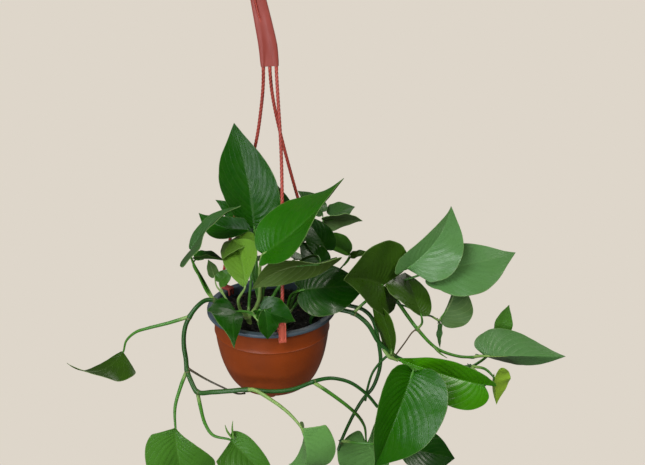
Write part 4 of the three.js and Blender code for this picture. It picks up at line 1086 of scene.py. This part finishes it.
def bladePlace(leaf, axes, station, run, side, under, veinRun):
    base, along, across, up, length = axes
    edge, margin, vein = station
    reach = abs(side)
    sign = -1 if side < 0 else 1
    half = 0 if side < 0 else 1
    lobe = leaf.get("lobes", (1, 1))[half]
    forward = lerp(vein, edge * lobe if edge < 0 else edge, reach ** blade["veinCurve"])
    lateral = reach * margin * leaf["width"] * (1 + sign * leaf.get("skew", 0))
    turn = sign * leaf.get("twist", 0) * (forward - 0.5)
    plain = blade["plainFold"]
    fold = math.radians(leaf.get("fold", (plain, plain))[half] + turn)
    spread = 2 * lateral / leaf["width"]
    ripple = math.sin(blade["waves"] * forward + 2 * half) * spread * spread
    arch = 4 * max(0, forward) * (1 - forward) * length
    soft = math.sqrt(lateral * lateral + 0.8) - 0.9
    height = soft * math.sin(fold) + leaf.get("bow", blade["plainBow"]) * arch - \
        blade["cup"] * spread * lateral + ripple
    sideways = sign * lateral * math.cos(fold) + leaf.get("curl", 0) * arch
    point = base + along * (forward * length) + across * sideways + up * height
    # the way out of the upper side here, rounded over the midrib
    lean = fold * lateral / (lateral + 1.5)
    out = up * math.cos(lean) - across * (sign * math.sin(lean))
    size = leaf["width"] / 60
    beat = abs(math.sin(math.pi * veinRun))
    envelope = min(1, reach * 4) * (1 - 0.7 * reach ** 3) * (1 - run ** 4)
    quilt = blade["quilt"] * size * envelope * (beat ** 0.8 * 2 - 1)
    midrib = math.exp(-(lateral / (0.5 + 0.6 * size)) ** 2) * (1 - run)
    sway = noise.noise(point * blade["swayScale"]) * blade["sway"] * min(1, reach * 3) * size
    if under:
        thick = blade["thickness"] + blade["ribDepth"] * size * midrib
        return point + out * (quilt * 0.8 + sway - thick)
    return point + out * (quilt + sway - blade["grooveDepth"] * size * midrib)


def makeBlade(bm, leaf, layers):
    tone, veinLayer = layers[:2]
    axes = bladeAxes(leaf)
    size = leaf["width"]
    columns = next(count for width, count in blade["columns"] if size > width)
    veins = round(blade["veinsAtLeast"] + size / blade["widthPerVein"])
    rows = max(veins * 4, int(axes[4] / blade["rowMm"]))
    plain = blade["plainOval"]
    stations = [[stationAt(i / rows, oval) for i in range(rows + 1)]
                for oval in leaf.get("oval", (plain, plain))]
    grid = bmesh.ops.create_grid(bm, x_segments=columns, y_segments=rows, size=1, calc_uvs=True)
    sheet = grid["verts"]
    lifted = bmesh.ops.extrude_face_region(bm, geom=facesAround(sheet), use_keep_orig=True)
    upper = [g for g in lifted["geom"] if isinstance(g, bmesh.types.BMVert)]
    bmesh.ops.translate(bm, verts=upper, vec=(0, 0, 1))
    verts = sheet + upper
    top, below = [linear(c) for c in bladeTones[leaf["tone"]]]
    chance = random.Random(round(sum(leaf["base"]) * 7))
    shade = chance.uniform(0.92, 1.08)
    top = [c * shade for c in top[:3]] + [1]
    for face in facesAround(verts):
        face.material_index = 0 if all(v.co.z > 0.5 for v in face.verts) else 1
    for vert in verts:
        x, y, level = vert.co
        side = math.copysign(abs(x) ** blade["crowding"], x)
        row = round((y + 1) / 2 * rows)
        run = row / rows
        veinRun = run * veins - blade["veinSweep"] * veins * abs(side) ** 1.2 + (0.5 if side > 0 else 0)
        under = level < 0.5
        station = stations[0 if side < 0 else 1][row]
        vert.co = bladePlace(leaf, axes, station, run, side, under, veinRun)
        vert[tone] = below if under else top
        vert[veinLayer] = veinRun
    bmesh.ops.remove_doubles(bm, verts=verts, dist=2e-3)
    kept = [v for v in verts if v.is_valid]
    bmesh.ops.recalc_face_normals(bm, faces=facesAround(kept))
    return axes


# Stems and leaf stalks

stem = dict(
    sides=14, stalkSides=12, nubSides=8, ringMm=1.4, firstNormal=(0.31, 0.87, 0.38),
    nodeSwell=0.2, nodeLength=2.6, nodeSearch=8,  # a stalk counts as a node within this distance
    scarAway=2.2, scarWidth=0.5, stalkGroove=0.22, grooveFade=8, sheathLength=14, sheathFade=6,
    nub=(0.5, 3, 4.6), nubRadii=(1.1, 1.0, 0.4),
)


def livingStem():
    # smooth green stem and leaf stalks: satin, faintly streaked lengthwise, corky brown at scars.
    # The streaks are drawn coarser than the real ones so that they show.
    material, tree = newMaterial("livingGreenStem")
    coordinates = addNode(tree, "ShaderNodeTexCoord").outputs
    tone = addNode(tree, "ShaderNodeAttribute", attribute_name="tone").outputs["Color"]
    scar = addNode(tree, "ShaderNodeAttribute", attribute_name="scar").outputs["Fac"]
    stretched = addNode(tree, "ShaderNodeMapping", {"Vector": coordinates["UV"], "Scale": (14, 3, 1)})
    streak = addNode(tree, "ShaderNodeTexNoise", {"Vector": stretched.outputs["Vector"], "Scale": 1,
                                                  "Detail": 3})
    blotch = addNode(tree, "ShaderNodeTexNoise", {"Vector": coordinates["Object"],
                                                  "Scale": 1 / (9 * mm), "Detail": 3})
    paler = addNode(tree, "ShaderNodeMapRange", {"Value": streak.outputs["Fac"], "From Min": 0.35,
                                                 "From Max": 0.65, "To Max": 0.14})
    colour = addNode(tree, "ShaderNodeMix", {0: paler.outputs[0], 6: tone, 7: linear("#7f9c5c")},
                     data_type="RGBA")
    darker = addNode(tree, "ShaderNodeMapRange", {"Value": blotch.outputs["Fac"], "From Min": 0.45,
                                                  "From Max": 0.75, "To Max": 0.3})
    colour = addNode(tree, "ShaderNodeMix", {0: darker.outputs[0], 6: colour.outputs[2],
                                             7: linear("#1c3416")}, data_type="RGBA")
    colour = addNode(tree, "ShaderNodeMix", {0: scar, 6: colour.outputs[2], 7: linear("#7a6a4c")},
                     data_type="RGBA")
    sunk = addNode(tree, "ShaderNodeMath", {0: scar, 1: -0.6, 2: streak.outputs["Fac"]},
                   operation="MULTIPLY_ADD")
    bump = addNode(tree, "ShaderNodeBump", {"Strength": 0.4, "Distance": 0.2 * mm,
                                            "Height": sunk.outputs[0]})
    satin = addNode(tree, "ShaderNodeMapRange", {"Value": scar, "To Min": 0.4, "To Max": 0.8})
    surface = addNode(tree, "ShaderNodeBsdfPrincipled",
                      {"Base Color": colour.outputs[2], "Roughness": satin.outputs[0], "IOR": 1.45,
                       "Specular IOR Level": 0.4, "Normal": bump.outputs["Normal"]})
    addNode(tree, "ShaderNodeOutputMaterial", {"Surface": surface.outputs[0]})
    return material


def makeTube(bm, points, radii, tone, layers, firstNormal, nodes=(), groove=0.0,
             sides=stem["sides"], sheath=None):
    toneLayer, veinLayer, scarLayer = layers
    total = framesAlong(points, 24, firstNormal)[-1][3]
    line = framesAlong(points, max(6, int(total / stem["ringMm"])), firstNormal)
    total = line[-1][3]
    start, middle, end = radii
    marks = []
    for place in nodes:
        nearest = min(line, key=lambda f: (f[0] - place).length)
        if (nearest[0] - place).length < stem["nodeSearch"]:
            marks.append(nearest[3])

    def section(length, turn):
        t = length / total
        radius = lerp(start, middle, 2 * t) if t < 0.5 else lerp(middle, end, 2 * t - 1)
        swell = 1 + stem["nodeSwell"] * sum(math.exp(-((length - m) / stem["nodeLength"]) ** 2)
                                            for m in marks)
        off = math.remainder(turn, 2 * math.pi)
        fade = min(1, length / stem["grooveFade"], (total - length) / stem["grooveFade"]) if groove else 0
        dent = 1 - groove * fade * math.exp(-(off / 0.5) ** 2)
        around = Vector((math.cos(turn), math.sin(turn), 0)) * 0.6
        uneven = 1 + 0.05 * noise.noise(Vector((0, radii[0] * 9, length * 0.12)) + around)
        reach = radius * swell * dent * uneven
        return reach * math.cos(turn), reach * math.sin(turn), length

    kept = sweep(bm, line, sides, section, veinLayer)
    colour = Vector(linear(stalkTones[tone]))
    pale = Vector(linear(stalkTones[sheath or tone]))
    sheathStart = total - stem["sheathLength"]
    for vert in kept:
        # the layer still holds the length along the tube
        length = vert[veinLayer]
        share = max(0, min(1, (length - sheathStart) / stem["sheathFade"])) if total > 24 else 0
        vert[toneLayer] = lerp(colour, pale, share)
        scars = (math.exp(-((length - m - stem["scarAway"]) / stem["scarWidth"]) ** 2) for m in marks)
        vert[scarLayer] = max(scars, default=0) * 0.7
        vert[veinLayer] = 0
    bmesh.ops.recalc_face_normals(bm, faces=facesAround(kept))


def stalkPath(leaf, axes):
    base, up = axes[0], axes[3]
    radius = leaf.get("stalkRadius", blade["plainStalk"])
    plain = blade["plainOval"]
    oval = leaf.get("oval", (plain, plain))[1]
    path = [Vector(p) for p in leaf["stalk"]] + [base - up * 0.5 * radius]
    for run, sink in ((0.3, 0.95 * radius), (0.55, 0.75 * radius)):
        path.append(bladePlace(leaf, axes, stationAt(run, oval), run, 0.0, False, 0) - up * sink)
    return path, (radius * 0.35, radius, radius * 1.25)


def makePlant():
    bladeUpper = pothosBlade("waxyPothosLeafUpper", True)
    bladeUnder = pothosBlade("mattPothosLeafUnderside", False)
    stemSkin = livingStem()
    for node, group in leafyStems.items():
        leavesMesh, stemsMesh = bmesh.new(), bmesh.new()
        layersOf = []
        for bm in (leavesMesh, stemsMesh):
            bm.loops.layers.uv.new("UVMap")
            layersOf.append((bm.verts.layers.float_color.new("tone"), bm.verts.layers.float.new("veinRun"),
                             bm.verts.layers.float.new("scar")))
        roots = [Vector(leaf["stalk"][0]) for leaf in group["leaves"]]
        for made in group["stems"] + growths.get(node, []):
            points = [Vector(p) for p in made["path"]]
            makeTube(stemsMesh, points, made["radii"], made.get("tone", "vine"), layersOf[1],
                     stem["firstNormal"], nodes=roots)
        for leaf in group["leaves"]:
            axes = makeBlade(leavesMesh, leaf, layersOf[0])
            path, radii = stalkPath(leaf, axes)
            makeTube(stemsMesh, path[::-1], radii, leaf.get("stalkTone", "petiole"), layersOf[1],
                     axes[3], groove=stem["stalkGroove"], sides=stem["stalkSides"], sheath="pale")
            if node.startswith("vine"):
                # a corky root nub stands opposite each leaf stalk
                away = (path[0] - path[1]).normalized()
                nub = [path[0] + away * reach for reach in stem["nub"]]
                makeTube(stemsMesh, nub, stem["nubRadii"], "root", layersOf[1], stem["firstNormal"],
                         sides=stem["nubSides"])
        addPiece(node + "_blades", leavesMesh, [bladeUpper, bladeUnder], "foliage", node, sharpAngle=55)
        addPiece(node + "_stems", stemsMesh, [stemSkin], "foliage", node)


makePlant()
print("plant")
